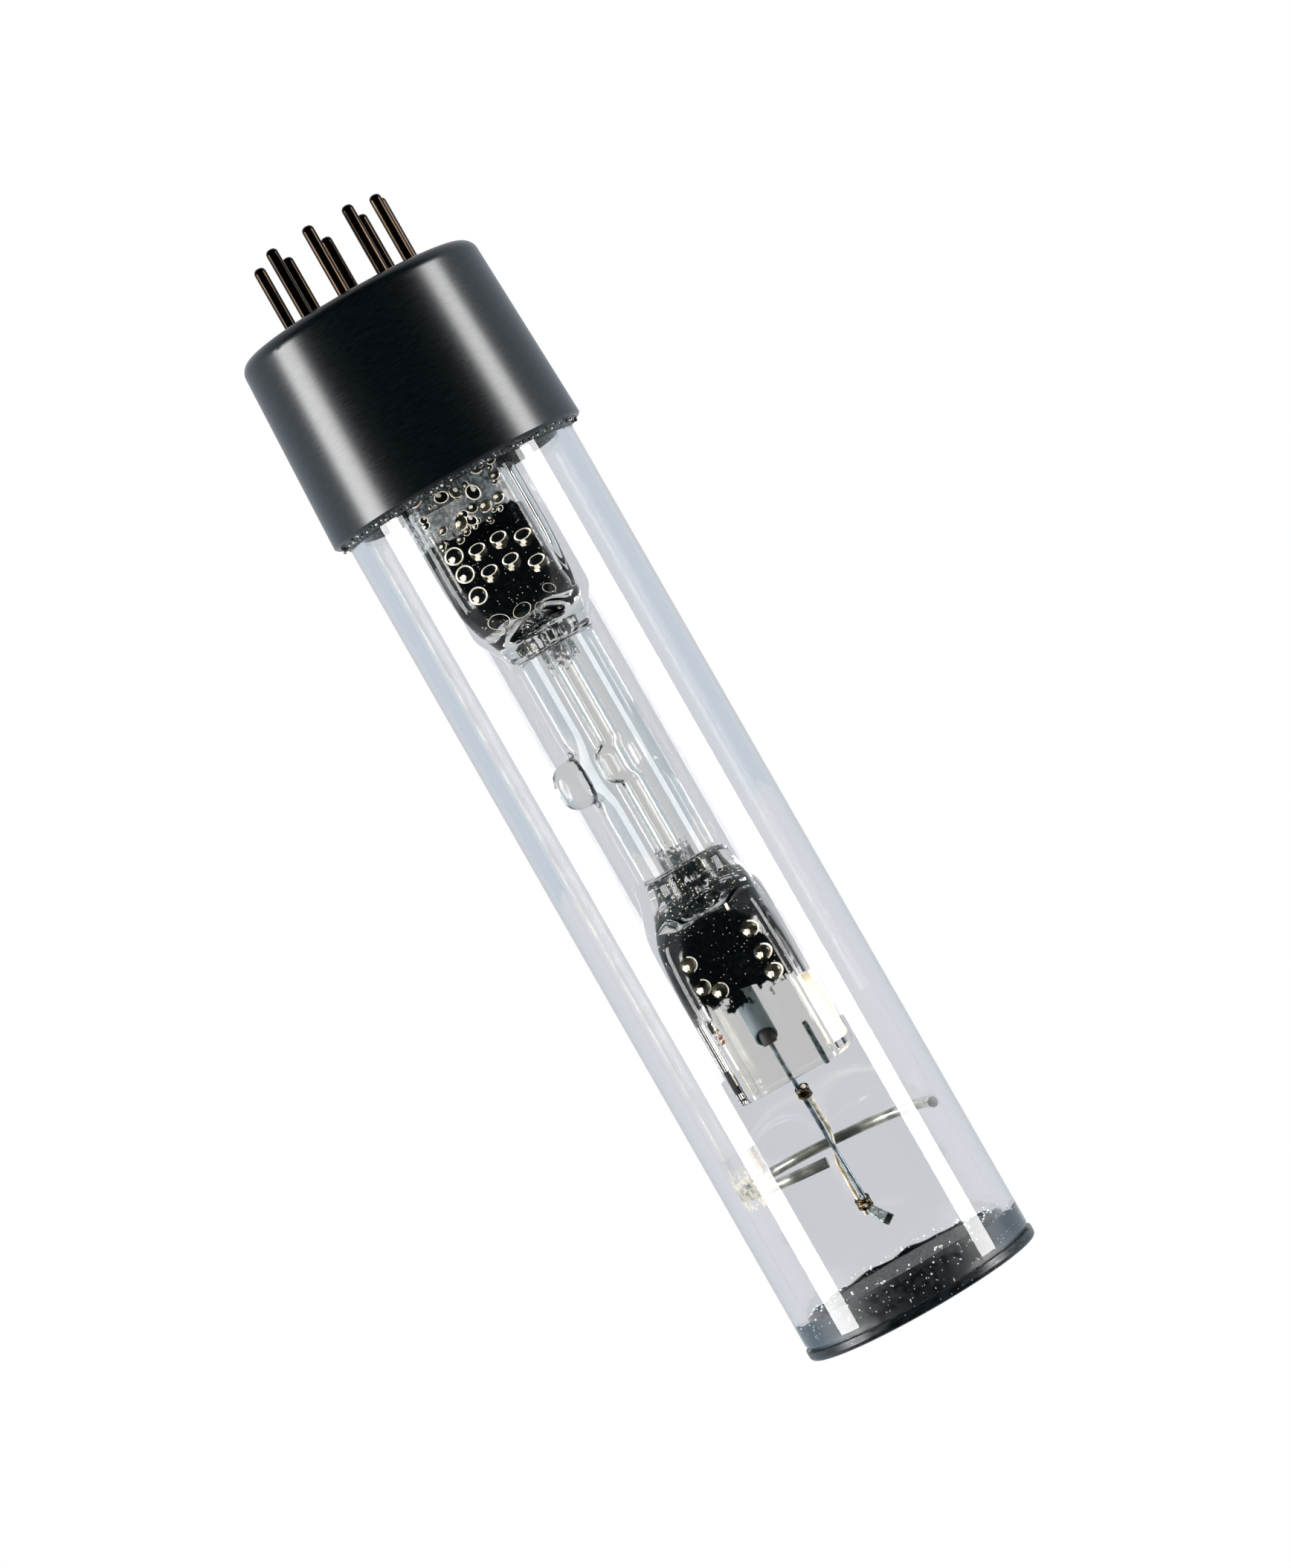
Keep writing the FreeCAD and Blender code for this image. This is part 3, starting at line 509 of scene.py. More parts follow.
def turned_piece(name, outline, segments, smooth_to=40, open_ends=False):
    """Turned piece from an outline of (radius, height, axis x, square half width, skew) in mm."""
    rings = held([(tuple(point) + (0.0, 0.0, 0.0))[:5] for point in outline])
    bpy.ops.object.select_all(action="DESELECT")
    radius, height, aside = rings[0][:3]
    bpy.ops.mesh.primitive_circle_add(
        vertices=segments, radius=radius * MM, location=(aside * MM, 0, height * MM))
    piece = bpy.context.object
    piece.name = name
    bpy.ops.object.transform_apply()
    bpy.ops.object.mode_set(mode="EDIT")
    shape_ring(rings[0])
    for before, after in zip(rings, rings[1:]):
        shift = ((after[2] - before[2]) * MM, 0, (after[1] - before[1]) * MM)
        bpy.ops.mesh.extrude_edges_move(TRANSFORM_OT_translate={"value": shift})
        shape_ring(after)
    bpy.ops.mesh.select_all(action="SELECT")
    bpy.ops.mesh.remove_doubles(threshold=SAME_POINT)
    if not open_ends:
        bpy.ops.mesh.select_all(action="DESELECT")
        bpy.ops.mesh.select_non_manifold()
        bpy.ops.mesh.edge_face_add()
        bpy.ops.mesh.select_all(action="SELECT")
    bpy.ops.mesh.normals_make_consistent(inside=False)
    bpy.ops.object.mode_set(mode="OBJECT")
    bpy.ops.object.shade_smooth_by_angle(angle=math.radians(smooth_to))
    return piece


def arc(centre_radius, centre_height, radius, start, end, steps):
    """Points of an arc in an outline. Angles are in degrees, 0 outwards and 90 up."""
    points = []
    for step in range(steps + 1):
        turn = math.radians(start + (end - start) * step / steps)
        out, up = radius * math.cos(turn), radius * math.sin(turn)
        points.append((centre_radius + out, centre_height + up))
    return points


print("turned pieces come from", turned_piece.__name__)

# %% [markdown]
# The rest of the helpers finish a piece: its material, the body it rides on and the solid it
# stands for. Small parts that come in numbers are modelled once, copied with meshes of their
# own, and joined to one piece.

# %% Helpers for finishing and copying
def finish_piece(piece, material, nodes=()):
    """Give a piece its material, or leave it those it has, hang it on the root and hide the solids
    it replaces.
    """
    piece.data.name = piece.name
    if material:
        piece.data.materials.clear()
        piece.data.materials.append(material)
    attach(piece, "root")
    if nodes:
        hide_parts(*nodes)
    print(piece.name, "faces:", len(piece.data.polygons))


def joined(pieces, name):
    """One piece out of several that touch nothing else, with its place in its mesh."""
    bpy.ops.object.select_all(action="DESELECT")
    for piece in pieces:
        piece.select_set(True)
    bpy.context.view_layer.objects.active = pieces[0]
    bpy.ops.object.transform_apply()
    if len(pieces) > 1:
        bpy.ops.object.join()
    whole = bpy.context.object
    whole.name = name
    return whole


def copy_at(piece, place, turn=(0, 0, 0), scale=(1, 1, 1)):
    """Copy of a piece with a mesh of its own, placed in mm."""
    twin = piece.copy()
    twin.data = piece.data.copy()
    bpy.context.scene.collection.objects.link(twin)
    twin.location = [value * MM for value in place]
    twin.rotation_euler = turn
    twin.scale = scale
    return twin


# %% [markdown]
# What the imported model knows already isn't measured again: the heights of tube and burner and
# the tube's radius are read from the frame.

# %% Sizes that the frame gives
def span(name):
    """Lowest and highest height, and half the depth, of a node in mm."""
    low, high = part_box(name)
    return low[2] / MM, high[2] / MM, (high[1] - low[1]) / 2 / MM


TUBE_LOW, TUBE_HIGH, TUBE_RADIUS = span("outer_tube")
BURNER_LOW, BURNER_HIGH, _ = span("burner")
print("tube", TUBE_LOW, TUBE_HIGH, TUBE_RADIUS)

# %% [markdown]
# The outer tube is drawn borosilicate glass, cut to length and fire polished, so its rims are
# round. It is turned from an outline that goes once round the wall, rims included.

# %% Outer tube
TUBE_WALL = 1.25
RIM_FLAT = 0.05
RIM = TUBE_WALL / 2 - RIM_FLAT
tube_bore = TUBE_RADIUS - TUBE_WALL
top_rim = arc(TUBE_RADIUS - RIM, TUBE_HIGH - RIM, RIM, 0, 90, 6) + arc(
    tube_bore + RIM, TUBE_HIGH - RIM, RIM, 90, 180, 6)
low_rim = arc(tube_bore + RIM, TUBE_LOW + RIM, RIM, 180, 270, 6) + arc(
    TUBE_RADIUS - RIM, TUBE_LOW + RIM, RIM, 270, 360, 6)
outline = top_rim + low_rim
TUBE_SEGMENTS = 256
tube_piece = turned_piece("glass_tube", outline + outline[:1], TUBE_SEGMENTS)
finish_piece(tube_piece, borosilicate, ["outer_tube"])

# %% [markdown]
# The burner is one vessel of quartz glass: a capillary between two wide chambers, blown and
# drawn on a glass lathe. While hot, the chambers were pressed to a rounded square, and they
# aren't quite in line, so each ring has its own centre, half width and turn.

# %% Sizes of the burner
UPPER_X, BORE_X, LOWER_X = -0.36, 0.3, 0.25
UPPER_END, LOWER_END = 60.45, 39.9
UPPER_NECK_X, LOWER_NECK_X = 0.1, 0.6
UPPER_FLOOR, LOWER_FLOOR = 1.7, 2.8
NECK_RADIUS, STEM_RADIUS, BORE_RADIUS = 3.85, 3.3, 0.7
NECK_ROUND = 0.8
SHOULDER_STEPS, SHOULDER_RUN = 40, 1.45
CHAMBER_HALF, CHAMBER_BORE = 4.95, 3.85
LOWER_SKEW = math.radians(-8.0)
UPPER_SHOULDER, LOWER_SHOULDER = 6.2, 7.3
UPPER_WALL_START, LOWER_WALL_END = 67.6, 31.6
RIM_ROUND = ((0.0, 0.3), (0.04, 0.15), (0.15, 0.04), (0.3, 0.0))
FILLET = 0.25
TIP_RINGS_FROM, TIP_RING_STEP, TIP_RING_COUNT = 53.5, 0.1, 76


def corner_reach(half):
    """Distance from the middle to a corner of a rounded square."""
    return math.sqrt(2) * CORNER_CUT + half - CORNER_CUT


OUT_REACH = corner_reach(CHAMBER_HALF)
IN_REACH = corner_reach(CHAMBER_BORE)
FREE = SOFT_MEETING + 0.1
OUT_FREE, IN_FREE = OUT_REACH + FREE, IN_REACH + FREE
UPPER_OUT = (UPPER_X, CHAMBER_HALF, 0.0)
UPPER_IN = (UPPER_X, CHAMBER_BORE, 0.0)
LOWER_OUT = (LOWER_X, CHAMBER_HALF, LOWER_SKEW)
LOWER_IN = (LOWER_X, CHAMBER_BORE, LOWER_SKEW)
ROUND_BORE = (BORE_X, 0.0, 0.0)
print("chamber corners reach", round(OUT_REACH, 2), "outside and", round(IN_REACH, 2), "inside")

# %% [markdown]
# The outline has to say three things for each ring: how wide the glass was blown, how far the
# mould let it go, and where the axis stands. On the shoulders all three change step by step.

# %% Helpers for the burner's outline
def at(points, place):
    """Outline points with the axis, half width and turn of the chamber that they belong to."""
    return [tuple(point) + tuple(place) for point in points]


def eased(share):
    """Share from 0 to 1 that starts and ends gently."""
    return share * share * (3 - 2 * share)


def shoulder(end, way, length, neck_x, place):
    """Rings from the neck outwards, each a little squarer and nearer to the chamber's axis."""
    axis_x, _, skew = place
    rings = []
    for step in range(SHOULDER_STEPS + 1):
        along = NECK_ROUND + (SHOULDER_RUN * length - NECK_ROUND) * step / SHOULDER_STEPS
        share = along / length
        blown = min(max((along - NECK_ROUND) / (length - NECK_ROUND), 0), 1)
        radius = NECK_RADIUS + (OUT_FREE - NECK_RADIUS) * eased(blown)
        half = soft_min(NECK_RADIUS + (CHAMBER_HALF - NECK_RADIUS) * share, CHAMBER_HALF)
        aside = neck_x + (axis_x - neck_x) * eased(min(share, 1))
        rings.append((radius, end + way * along, aside, half, skew))
    return rings


def neck_edge(end, way, start_angle, stop_angle, neck_x, skew):
    """Rounded edge at the flat end of a neck, between two angles in degrees."""
    centre_height = end + way * NECK_ROUND
    points = arc(NECK_RADIUS - NECK_ROUND, centre_height, NECK_ROUND, start_angle, stop_angle, 5)
    return at(points, (neck_x, NECK_RADIUS, skew))


def rim_rings(end, way, axis_x, skew, rounds):
    """Rings of a fire polished rim, from (radius, half width, distance from the end) in mm."""
    rings = []
    for radius, half, rise in rounds:
        rings.append((radius, end + way * rise, axis_x, half, skew))
    return rings


print("outline helpers:", shoulder.__name__, neck_edge.__name__, rim_rings.__name__)

# %% [markdown]
# Now the outline goes once round the glass: down the outside from the upper chamber over the
# capillary to the lower rim, and up the inside again. The bore widens where the tip was melted
# off, because the wall was drawn outwards there.

# %% The burner's outline
OUT_ROUND = [(OUT_FREE, CHAMBER_HALF - inset, rise) for inset, rise in RIM_ROUND]
IN_ROUND = [(IN_FREE, CHAMBER_BORE + inset, rise) for inset, rise in RIM_ROUND]
upper_outside = shoulder(UPPER_END, 1, UPPER_SHOULDER, UPPER_NECK_X, UPPER_OUT)[::-1]
upper_outside += neck_edge(UPPER_END, 1, -15, -75, UPPER_NECK_X, 0.0)
stem_top = at(arc(STEM_RADIUS + FILLET, UPPER_END - FILLET, FILLET, 90, 180, 4), ROUND_BORE)
stem_low = at(arc(STEM_RADIUS + FILLET, LOWER_END + FILLET, FILLET, 180, 270, 4), ROUND_BORE)
tip_heights = [TIP_RINGS_FROM - TIP_RING_STEP * step for step in range(TIP_RING_COUNT)]
tip_rings = at([(STEM_RADIUS, height) for height in tip_heights], ROUND_BORE)
lower_outside = neck_edge(LOWER_END, -1, 75, 15, LOWER_NECK_X, LOWER_SKEW)
lower_outside += shoulder(LOWER_END, -1, LOWER_SHOULDER, LOWER_NECK_X, LOWER_OUT)
low_rim = rim_rings(BURNER_LOW, 1, LOWER_X, LOWER_SKEW, OUT_ROUND + IN_ROUND[:0:-1])
upper_centre = UPPER_END + UPPER_FLOOR + IN_REACH
lower_centre = LOWER_END - LOWER_FLOOR - IN_REACH
lower_inside = at([(IN_FREE, BURNER_LOW + RIM_ROUND[0][1]), (IN_FREE, LOWER_WALL_END)], LOWER_IN)
lower_inside += at(arc(0, lower_centre, IN_REACH, 0, 80, 22), LOWER_IN)
bore = [(BORE_RADIUS, 37.4, BORE_X), (BORE_RADIUS, 48.0, BORE_X)]
bore += [(0.78, 48.2, 0.18), (0.96, 48.5, -0.08), (1.02, 49.1, -0.16), (1.02, 50.5, -0.16),
         (0.96, 51.1, -0.08), (0.78, 51.4, 0.18)]
bore += [(BORE_RADIUS, 51.8, BORE_X), (BORE_RADIUS, 61.9, BORE_X)]
upper_inside = at(arc(0, upper_centre, IN_REACH, -80, 0, 22), UPPER_IN)
upper_inside += at([(IN_FREE, UPPER_WALL_START)], UPPER_IN)
high_rim = rim_rings(BURNER_HIGH, -1, UPPER_X, 0.0, IN_ROUND + OUT_ROUND[::-1])
outline = (upper_outside + stem_top + tip_rings + stem_low + lower_outside + low_rim
           + lower_inside + bore + upper_inside + high_rim)
burner_piece = turned_piece("quartz_burner", outline + outline[:1], 192)
print("burner outline:", len(outline), "rings")

# %% [markdown]
# The sealed-off tip is a lump of glass on the left of the capillary, where the pump stem was
# melted off. It is pulled out of the capillary's own wall, point by point, so that lump and wall
# stay one glass: a piece of its own would bend the light twice where the two overlap.

# %% Tip
TIP_MIDDLE = 49.75
TIP_HALF_WIDTH, TIP_HALF_HEIGHT = 1.95, 2.05
TIP_LIFT, TIP_FLARE, TIP_FADE = 2.2, 0.35, 0.7
TIP_REACH, TIP_SIDE = 3.7, 1.5
TIP_CORNERS, TIP_FALL = 3, 0.4
TIP_ROUGH, TIP_GRAIN = 0.12, 1.1
for vertex in burner_piece.data.vertices:
    x, y, z = vertex.co / MM
    rise = z - TIP_MIDDLE
    if x > BORE_X - TIP_SIDE or abs(rise) > TIP_REACH:
        continue
    spread = abs(y / TIP_HALF_WIDTH) ** TIP_CORNERS + abs(rise / TIP_HALF_HEIGHT) ** TIP_CORNERS
    lift = TIP_FLARE * math.exp(-TIP_FADE * max(spread - 1, 0))
    if spread < 1:
        rough = TIP_ROUGH * noise.noise(Vector((TIP_GRAIN * y, TIP_GRAIN * z, 0.5)))
        lift += (TIP_LIFT + rough) * (1 - spread) ** TIP_FALL
    vertex.co.x -= lift * MM
burner_piece.data.update()
finish_piece(burner_piece, quartz, ["burner"])

# %% [markdown]
# The electrodes have thrown metal on to the quartz. A film in contact with the glass is seen as
# wide as the glass itself, so the films of the chambers and the stain on the outer tube lie a few
# hundredths of a millimetre inside the wall. Those of the necks and of the capillary lie deeper
# in the glass, where they stand for what the photograph shows. Each is an open turned skin.

# %% Films
CONTACT = 0.025
BORE_FILM_RADIUS = 0.98
ROUND_TUBE = (0.0, 0.0, 0.0)
LOWER_NECK_FILM_X = 0.5
film_in = IN_REACH + CONTACT
upper_place = (UPPER_X, CHAMBER_BORE + CONTACT, 0.0)
lower_place = (LOWER_X, CHAMBER_BORE + CONTACT, LOWER_SKEW)
cup_wall = [(IN_FREE, UPPER_WALL_START), (IN_FREE, 72.3)]
upper_skin = at(arc(0, upper_centre, film_in, -40, 0, 12) + cup_wall, upper_place)
smoke_wall = at([(IN_FREE, 70.3), (IN_FREE, 79.0)], upper_place)
lower_wall = [(IN_FREE, 27.0), (IN_FREE, LOWER_WALL_END)]
lower_skin = at(lower_wall + arc(0, lower_centre, film_in, 0, 42, 12), lower_place)
upper_neck = at([(1.1, 60.6), (1.7, 60.8), (1.9, 61.3), (1.95, 62.0)], (UPPER_NECK_X, 0.0, 0.0))
lower_neck = at([(1.6, 39.65), (2.1, 39.3), (2.2, 38.4), (2.35, 37.5), (2.7, 36.8), (3.2, 36.25)],
                (LOWER_NECK_FILM_X, 0.0, 0.0))
bore_top = at([(BORE_FILM_RADIUS, 57.2), (BORE_FILM_RADIUS, 60.3)], ROUND_BORE)
bore_low = at([(BORE_FILM_RADIUS, 40.1), (BORE_FILM_RADIUS, 42.8)], ROUND_BORE)
stain_radius = tube_bore - 0.02
stain_wall = at([(stain_radius, 13.2), (stain_radius, 18.0)], ROUND_TUBE)
for film_name, film_outline, film_material in (
        ("upper_cup_film", upper_skin, upper_film), ("upper_wall_film", smoke_wall, upper_smoke),
        ("lower_cup_film", lower_skin, lower_film), ("upper_neck_film", upper_neck, neck_film),
        ("lower_neck_film", lower_neck, neck_film), ("upper_bore_film", bore_top, bore_smoke),
        ("lower_bore_film", bore_low, low_bore_smoke), ("tube_stain", stain_wall, gold_stain)):
    film_piece = turned_piece(film_name, film_outline, 128, open_ends=True)
    finish_piece(film_piece, film_material)

# %% [markdown]
# Rows of short stubs stand out of each cup. Seen from the front a stub is a dark well with a bright
# rim above a rounded body, so it is drawn out ring by ring: the body's circle turns into the rim's
# flat ellipse, and the ellipse is then sunk. The rim's brightness is a painted highlight and the
# well's darkness is painted shade, both set face by face. The lower cup has plain round ones.

# %% A helper for stubs
STUB_SEGMENTS = 32
BODY, GLINT_PAINT, SHADE_PAINT = 0, 1, 2
PAINTED_SPOT_LEFT, PAINTED_SPOT_RADIUS = 0.28, 0.24
SHADE_PAINT_SHARE = 0.82
PAINTED_ARC_FROM_X, PAINTED_ARC_REACH = 0.1, 0.6


def painted_rim_or_well(middle, rim):
    """Finish of a face on a stub with a well, painted highlight on the rim and painted shade in the
    well: rim is (half width, shift up, half height).
    """
    off = math.hypot(middle.x / rim[0], (middle.z - rim[1]) / rim[2])
    if off < SHADE_PAINT_SHARE:
        return SHADE_PAINT
    return GLINT_PAINT if off < 1.0 else BODY


def stub_from(rings, name, rim, painted_spot_low):
    """Stub out of rings of (half width, half height, shift up, depth) in mm, towards the front."""
    bpy.ops.object.select_all(action="DESELECT")
    bpy.ops.mesh.primitive_circle_add(vertices=STUB_SEGMENTS, radius=MM,
                                      rotation=(math.radians(90), 0, 0))
    stub = bpy.context.object
    stub.name = name
    bpy.ops.object.transform_apply()
    bpy.ops.object.mode_set(mode="EDIT")
    before = (1.0, 1.0, 0.0, 0.0)
    for ring in rings:
        if ring is not rings[0]:
            bpy.ops.mesh.extrude_edges_move(TRANSFORM_OT_translate={"value": (0, 0, 0)})
        mesh = bmesh.from_edit_mesh(stub.data)
        for vertex in mesh.verts:
            if vertex.select:
                vertex.co.x *= ring[0] / before[0]
                vertex.co.z = (vertex.co.z - before[2] * MM) * ring[1] / before[1] + ring[2] * MM
                vertex.co.y = -ring[3] * MM
        before = ring
    bpy.ops.mesh.edge_face_add()
    bpy.ops.mesh.select_all(action="SELECT")
    bpy.ops.mesh.normals_make_consistent(inside=False)
    bpy.ops.object.mode_set(mode="OBJECT")
    bpy.ops.object.shade_smooth_by_angle(angle=math.radians(60))
    for material in (stub_metal, cream_and_glint_paint, well_shade_paint):
        stub.data.materials.append(material)
    for face in stub.data.polygons:
        middle = face.center / MM
        # Painted highlight: a spot of faces at the lower left in the cream finish.
        if math.hypot(middle.x + PAINTED_SPOT_LEFT, middle.z + painted_spot_low) < PAINTED_SPOT_RADIUS:
            face.material_index = GLINT_PAINT
        elif rim:
            face.material_index = painted_rim_or_well(middle, rim)
        # Painted highlight on a ball: its right edge in the cream finish.
        elif middle.x > PAINTED_ARC_FROM_X and math.hypot(middle.x, middle.z) > PAINTED_ARC_REACH:
            face.material_index = GLINT_PAINT
    return stub


print("stubs come from", stub_from.__name__)

# %% [markdown]
# Three kinds of stub are modelled once. The tall ones stand in the inner columns of the upper cup,
# round ones with a full rim in its left column, and balls on the lower cup. Each has a painted
# glint at its lower left, made of faces in the cream finish where the left soft box shows in the
# real metal. Each ball also has a painted highlight along its right edge.

# %% Stubs
TALL_STUB = ((0.7, 0.7, 0.0, 0.0), (0.73, 0.7, 0.04, 0.1), (0.72, 0.58, 0.16, 0.2),
             (0.7, 0.42, 0.3, 0.27), (0.64, 0.36, 0.3, 0.3), (0.58, 0.3, 0.3, 0.26),
             (0.5, 0.24, 0.3, 0.16), (0.25, 0.1, 0.3, 0.14))
ROUND_STUB = ((0.72, 0.72, 0.0, 0.0), (0.72, 0.72, 0.0, 0.2), (0.66, 0.66, 0.0, 0.26),
              (0.6, 0.6, 0.0, 0.2), (0.5, 0.5, 0.0, 0.24), (0.3, 0.3, 0.0, 0.32),
              (0.1, 0.1, 0.0, 0.35))
BALL_STUB = ((0.7, 0.7, 0.0, 0.0), (0.68, 0.68, 0.0, 0.12), (0.58, 0.58, 0.0, 0.28),
             (0.42, 0.42, 0.0, 0.4), (0.22, 0.22, 0.0, 0.46), (0.06, 0.06, 0.0, 0.48))
tall = stub_from(TALL_STUB, "tall_stub", (0.7, 0.3, 0.42), 0.36)
round_one = stub_from(ROUND_STUB, "round_stub", (0.73, 0.0, 0.73), 0.2)
ball = stub_from(BALL_STUB, "ball_stub", None, 0.1)
UPPER_FACE = -CHAMBER_BORE - CONTACT
upper_stubs = [copy_at(tall, (x, UPPER_FACE, z)) for x, z in (
    (-1.3, 69.67), (-1.3, 67.7), (0.6, 69.67), (0.6, 67.7), (2.35, 68.9), (2.3, 66.6))]
upper_stubs += [copy_at(round_one, (x, UPPER_FACE, z)) for x, z in (
    (-3.05, 68.68), (-3.0, 66.7), (-3.1, 70.36))]
lower_stubs = []
for x, z in ((-3.0, 32.75), (-2.93, 30.65), (2.5, 32.9), (2.5, 30.8), (2.5, 29.05), (-1.85, 29.75)):
    face_y = -CHAMBER_BORE - CONTACT + (x - LOWER_X) * math.sin(LOWER_SKEW)
    lower_stubs.append(copy_at(ball, (x, face_y, z)))
for stubs, stub_name in ((upper_stubs, "upper_stubs"), (lower_stubs, "lower_stubs")):
    finish_piece(joined(stubs, stub_name), None)

# %% [markdown]
# Above the upper cup the glass carries drops of molten metal. They are the ball stub again, and
# every third one is the round stub, flattened and in many sizes, and strewn by a seeded random
# choice. With the stubs' faces they take the painted glints, rims and well shade.

# %% Drops
DROP_COUNT = 66
RINGED_DROPS = 3
strew = random.Random(7)
drops = []
for number in range(DROP_COUNT):
    size = strew.uniform(0.2, 1.0) ** 1.6
    place = (strew.uniform(-3.9, 3.1), UPPER_FACE - 0.02, strew.uniform(71.2, 76.6))
    kind = ball if number % RINGED_DROPS else round_one
    turn = (0, strew.uniform(0, 3), 0)
    drops.append(copy_at(kind, place, turn, (0.8 * size, 0.6 * size, size)))
finish_piece(joined(drops, "wall_drops"), None)
for template in (tall, round_one, ball):
    bpy.data.objects.remove(template)

# %% [markdown]
# Crumbs are broken grains: a ball of few faces, knocked out of shape. The same grain is strewn
# over the poured compound, along the cement at the mouth of the base, and as rust in the skirt.

# %% Crumbs
LOW_SHARE = 0.4
DENT_DEPTH, DENT_SCALE = 0.4, 1500
bpy.ops.object.select_all(action="DESELECT")
bpy.ops.mesh.primitive_ico_sphere_add(subdivisions=1, radius=MM)
grain = bpy.context.object
for vertex in grain.data.vertices:
    vertex.co *= 1 + DENT_DEPTH * noise.noise(vertex.co * DENT_SCALE)


def strewn(name, count, size, material, spot):
    """Crumbs of sizes in mm, each at a spot that the given function picks."""
    crumbs = []
    for _ in range(count):
        mm = strew.uniform(*size)
        turn = [strew.uniform(0, 6) for _ in range(3)]
        flat = mm * strew.uniform(0.4, 1)
        crumbs.append(copy_at(grain, spot(), turn, (mm, flat, mm)))
    finish_piece(joined(crumbs, name), material)


def on_ring(radius, heights):
    """A spot on a ring, as (x, y, z) in mm."""
    turn = strew.uniform(0, math.tau)
    return radius * math.cos(turn), radius * math.sin(turn), strew.uniform(*heights)


def on_compound():
    """A spot where the compound meets the tube, more often near its top edge."""
    radius = tube_bore + strew.uniform(-0.1, 0.03)
    return on_ring(radius, (0.95, 3.3) if strew.random() < LOW_SHARE else (2.2, 3.4))


strewn("compound_crumbs", 340, (0.03, 0.12), white_crumb, on_compound)
strewn("compound_top_crumbs", 90, (0.05, 0.14), white_crumb,
       lambda: on_ring(strew.uniform(5.5, 8.8), (3.45, 3.6)))
strewn("mouth_crumbs_pale", 230, (0.04, 0.13), white_crumb,
       lambda: on_ring(strew.uniform(10.32, 10.8), (75.25, 75.6)))
strewn("mouth_crumbs_dark", 260, (0.06, 0.16), black_compound,
       lambda: on_ring(strew.uniform(10.32, 10.85), (75.25, 75.65)))
strewn("rust_crumbs", 22, (0.05, 0.14), rust,
       lambda: (strew.uniform(-4.2, -3.5), -CHAMBER_BORE + 0.03, strew.uniform(25.9, 27.2)))
bpy.data.objects.remove(grain)

# %% [markdown]
# The poured compound wets the tube, so its edge is seen through the glass as a dark band with a
# wavy top. The band is a turned skin in contact with the bore, and its top is moved up and down.

# %% Compound rim
RIM_LOW, RIM_TOP = 0.9, 3.1
RIM_DEPTH = 0.5
WAVE_HEIGHT, WAVE_SCALE, WAVE_FROM = 0.35, 5, 2.0
band = turned_piece("compound_rim", [
    (tube_bore + CONTACT, RIM_LOW), (tube_bore + CONTACT, RIM_TOP), (tube_bore - RIM_DEPTH, RIM_TOP)
], TUBE_SEGMENTS, open_ends=True)
for vertex in band.data.vertices:
    if vertex.co.z > WAVE_FROM * MM:
        turn = math.atan2(vertex.co.y, vertex.co.x)
        around = Vector((math.cos(turn), math.sin(turn), 0))
        vertex.co.z += WAVE_HEIGHT * noise.noise(WAVE_SCALE * around) * MM
finish_piece(band, black_rim)

# %% [markdown]
# At both joints of the lead the wires are bound with a few turns of thin wire, twisted by hand.
# Each turn is a torus with a tilt of its own, laid round the band that the solid model has. The
# same ring, flattened and very thin, gives the curved outlines in the bowl of the upper cup.

# %% Bindings and outlines
BINDING_TURNS = ((-0.3, 18), (0.02, -14), (0.34, 26))
BINDING_SHARE, BINDING_WIRE, BINDING_LEAN = 0.86, 0.13, 24
BOWL_OUTLINES = ((-2.6, 64.1, 25, 1.0), (-0.6, 64.0, -8, 0.9), (0.8, 63.6, 0, 0.5),
                 (2.1, 64.5, 40, 0.6))
OUTLINE_RADIUS, OUTLINE_WIRE, OUTLINE_FLAT, OUTLINE_SINK = 0.85, 0.022, 0.7, 0.02


def wire_ring(name, place, turn, radius, wire, scale=(1, 1, 1)):
    """Ring of wire at a place in mm, turned by angles in degrees."""
    bpy.ops.object.select_all(action="DESELECT")
    bpy.ops.mesh.primitive_torus_add(
        major_radius=radius * MM, minor_radius=wire * MM, major_segments=40, minor_segments=10,
        location=[value * MM for value in place], rotation=[math.radians(angle) for angle in turn])
    ring = bpy.context.object
    ring.name = name
    ring.scale = scale
    bpy.ops.object.shade_smooth()
    return ring


for clip_name in ("upper_clip", "lower_clip"):
    low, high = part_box(clip_name)
    middle = [(a + b) / 2 / MM for a, b in zip(low, high)]
    radius = (high[0] - low[0]) / 2 / MM * BINDING_SHARE
    turns = []
    for rise, tilt in BINDING_TURNS:
        place = (middle[0], middle[1], middle[2] + rise)
        turns.append(wire_ring("turn", place, (tilt, BINDING_LEAN - tilt, 0), radius, BINDING_WIRE))
    finish_piece(joined(turns, clip_name + "_twist"), dark_clip)

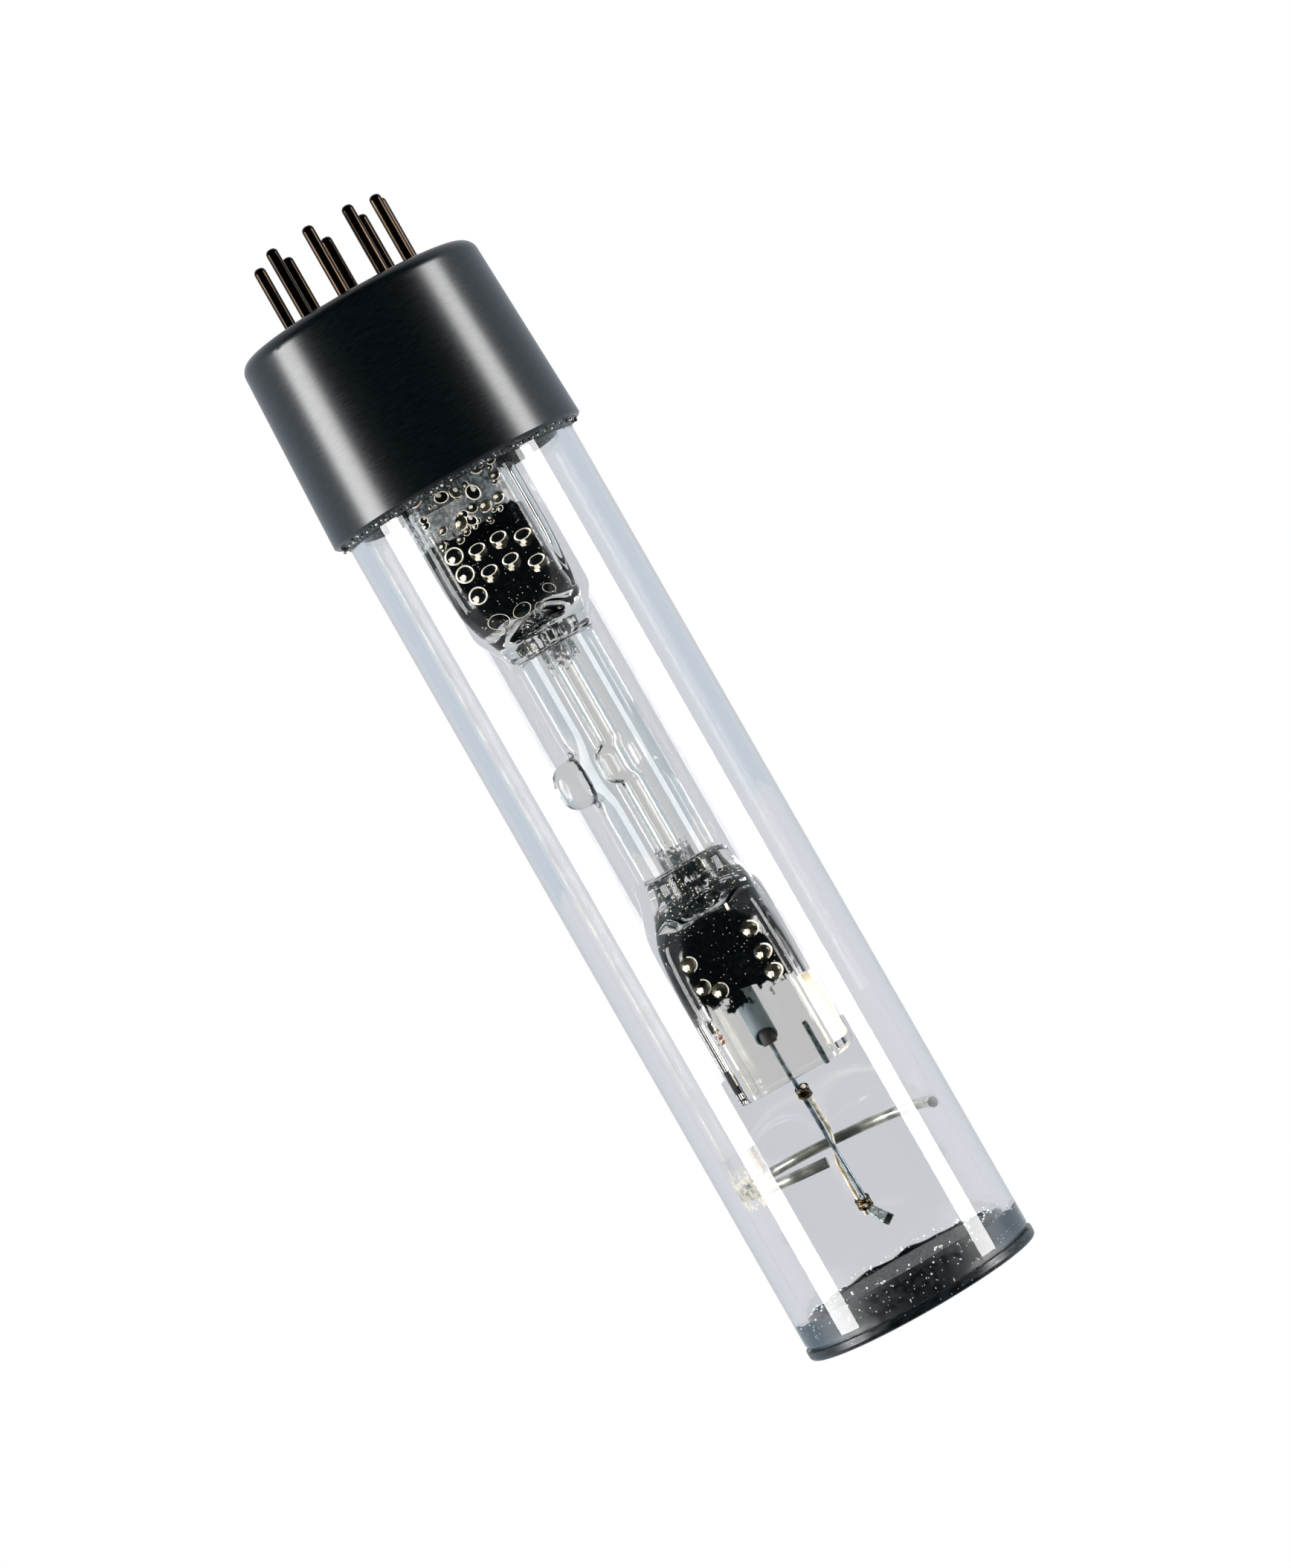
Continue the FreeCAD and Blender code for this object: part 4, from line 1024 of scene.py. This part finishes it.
arches = []
for x, z, lean, size in BOWL_OUTLINES:
    flat = (size, OUTLINE_FLAT * size, 1)
    arches.append(wire_ring("arch", (x, UPPER_FACE + OUTLINE_SINK, z), (90, lean, 0),
                            OUTLINE_RADIUS, OUTLINE_WIRE, flat))
finish_piece(joined(arches, "bowl_outlines"), cream_and_glint_paint)

# %% [markdown]
# The skirt below the lower cup holds a dark glass bar and a cream slab on its right wall, a painted
# highlight of that wall, and a pale flake sits on the cup. All three are cubes with their sizes set
# and edges bevelled.

# %% Bar, painted highlight and flake
def small_bar(name, place, size, material, bevel):
    """Upright bar of (width, depth, height) in mm with rounded edges."""
    bpy.ops.object.select_all(action="DESELECT")
    bpy.ops.mesh.primitive_cube_add(size=MM, location=[value * MM for value in place])
    bar = bpy.context.object
    bar.name = name
    bar.scale = size
    bpy.ops.object.transform_apply()
    bpy.ops.object.mode_set(mode="EDIT")
    bpy.ops.mesh.bevel(offset=bevel * MM, segments=4, affect="EDGES")
    bpy.ops.object.mode_set(mode="OBJECT")
    bpy.ops.object.shade_smooth_by_angle(angle=math.radians(50))
    finish_piece(bar, material)


small_bar("skirt_bar", (2.62, -3.4, 22.4), (0.42, 0.42, 3.9), bead_glass, 0.15)
# A painted highlight: a cream slab in the right wall of the skirt.
small_bar("skirt_painted_highlight", (4.66, -0.6, 24.6), (0.16, 4.5, 6.0), painted_cream_highlight, 0.05)
small_bar("cup_flake", (1.85, -3.93, 35.3), (0.24, 0.06, 0.6), cream_and_glint_paint, 0.02)

# %% [markdown]
# The lower sleeve is open below, and its inside lies in shade. A black plug in it is painted shade
# for that darkness, with the lead going in.

# %% Painted shade in the sleeve
SLEEVE_WALL, SHADE_PLUG_LOW, SHADE_PLUG_HIGH = 0.35, 0.1, 1.6
low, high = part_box("lower_sleeve")
sleeve_x, sleeve_y = [(low[axis] + high[axis]) / 2 for axis in (0, 1)]
sleeve_inside = (high[0] - low[0]) / 2 / MM - SLEEVE_WALL
sleeve_end = low[2] / MM
shade_plug = turned_piece("sleeve_painted_shade", [
    (sleeve_inside, sleeve_end + SHADE_PLUG_LOW), (sleeve_inside, sleeve_end + SHADE_PLUG_HIGH)], 48)
shade_plug.location = (sleeve_x, sleeve_y, 0)
finish_piece(joined([shade_plug], "sleeve_painted_shade"), painted_shade_black)
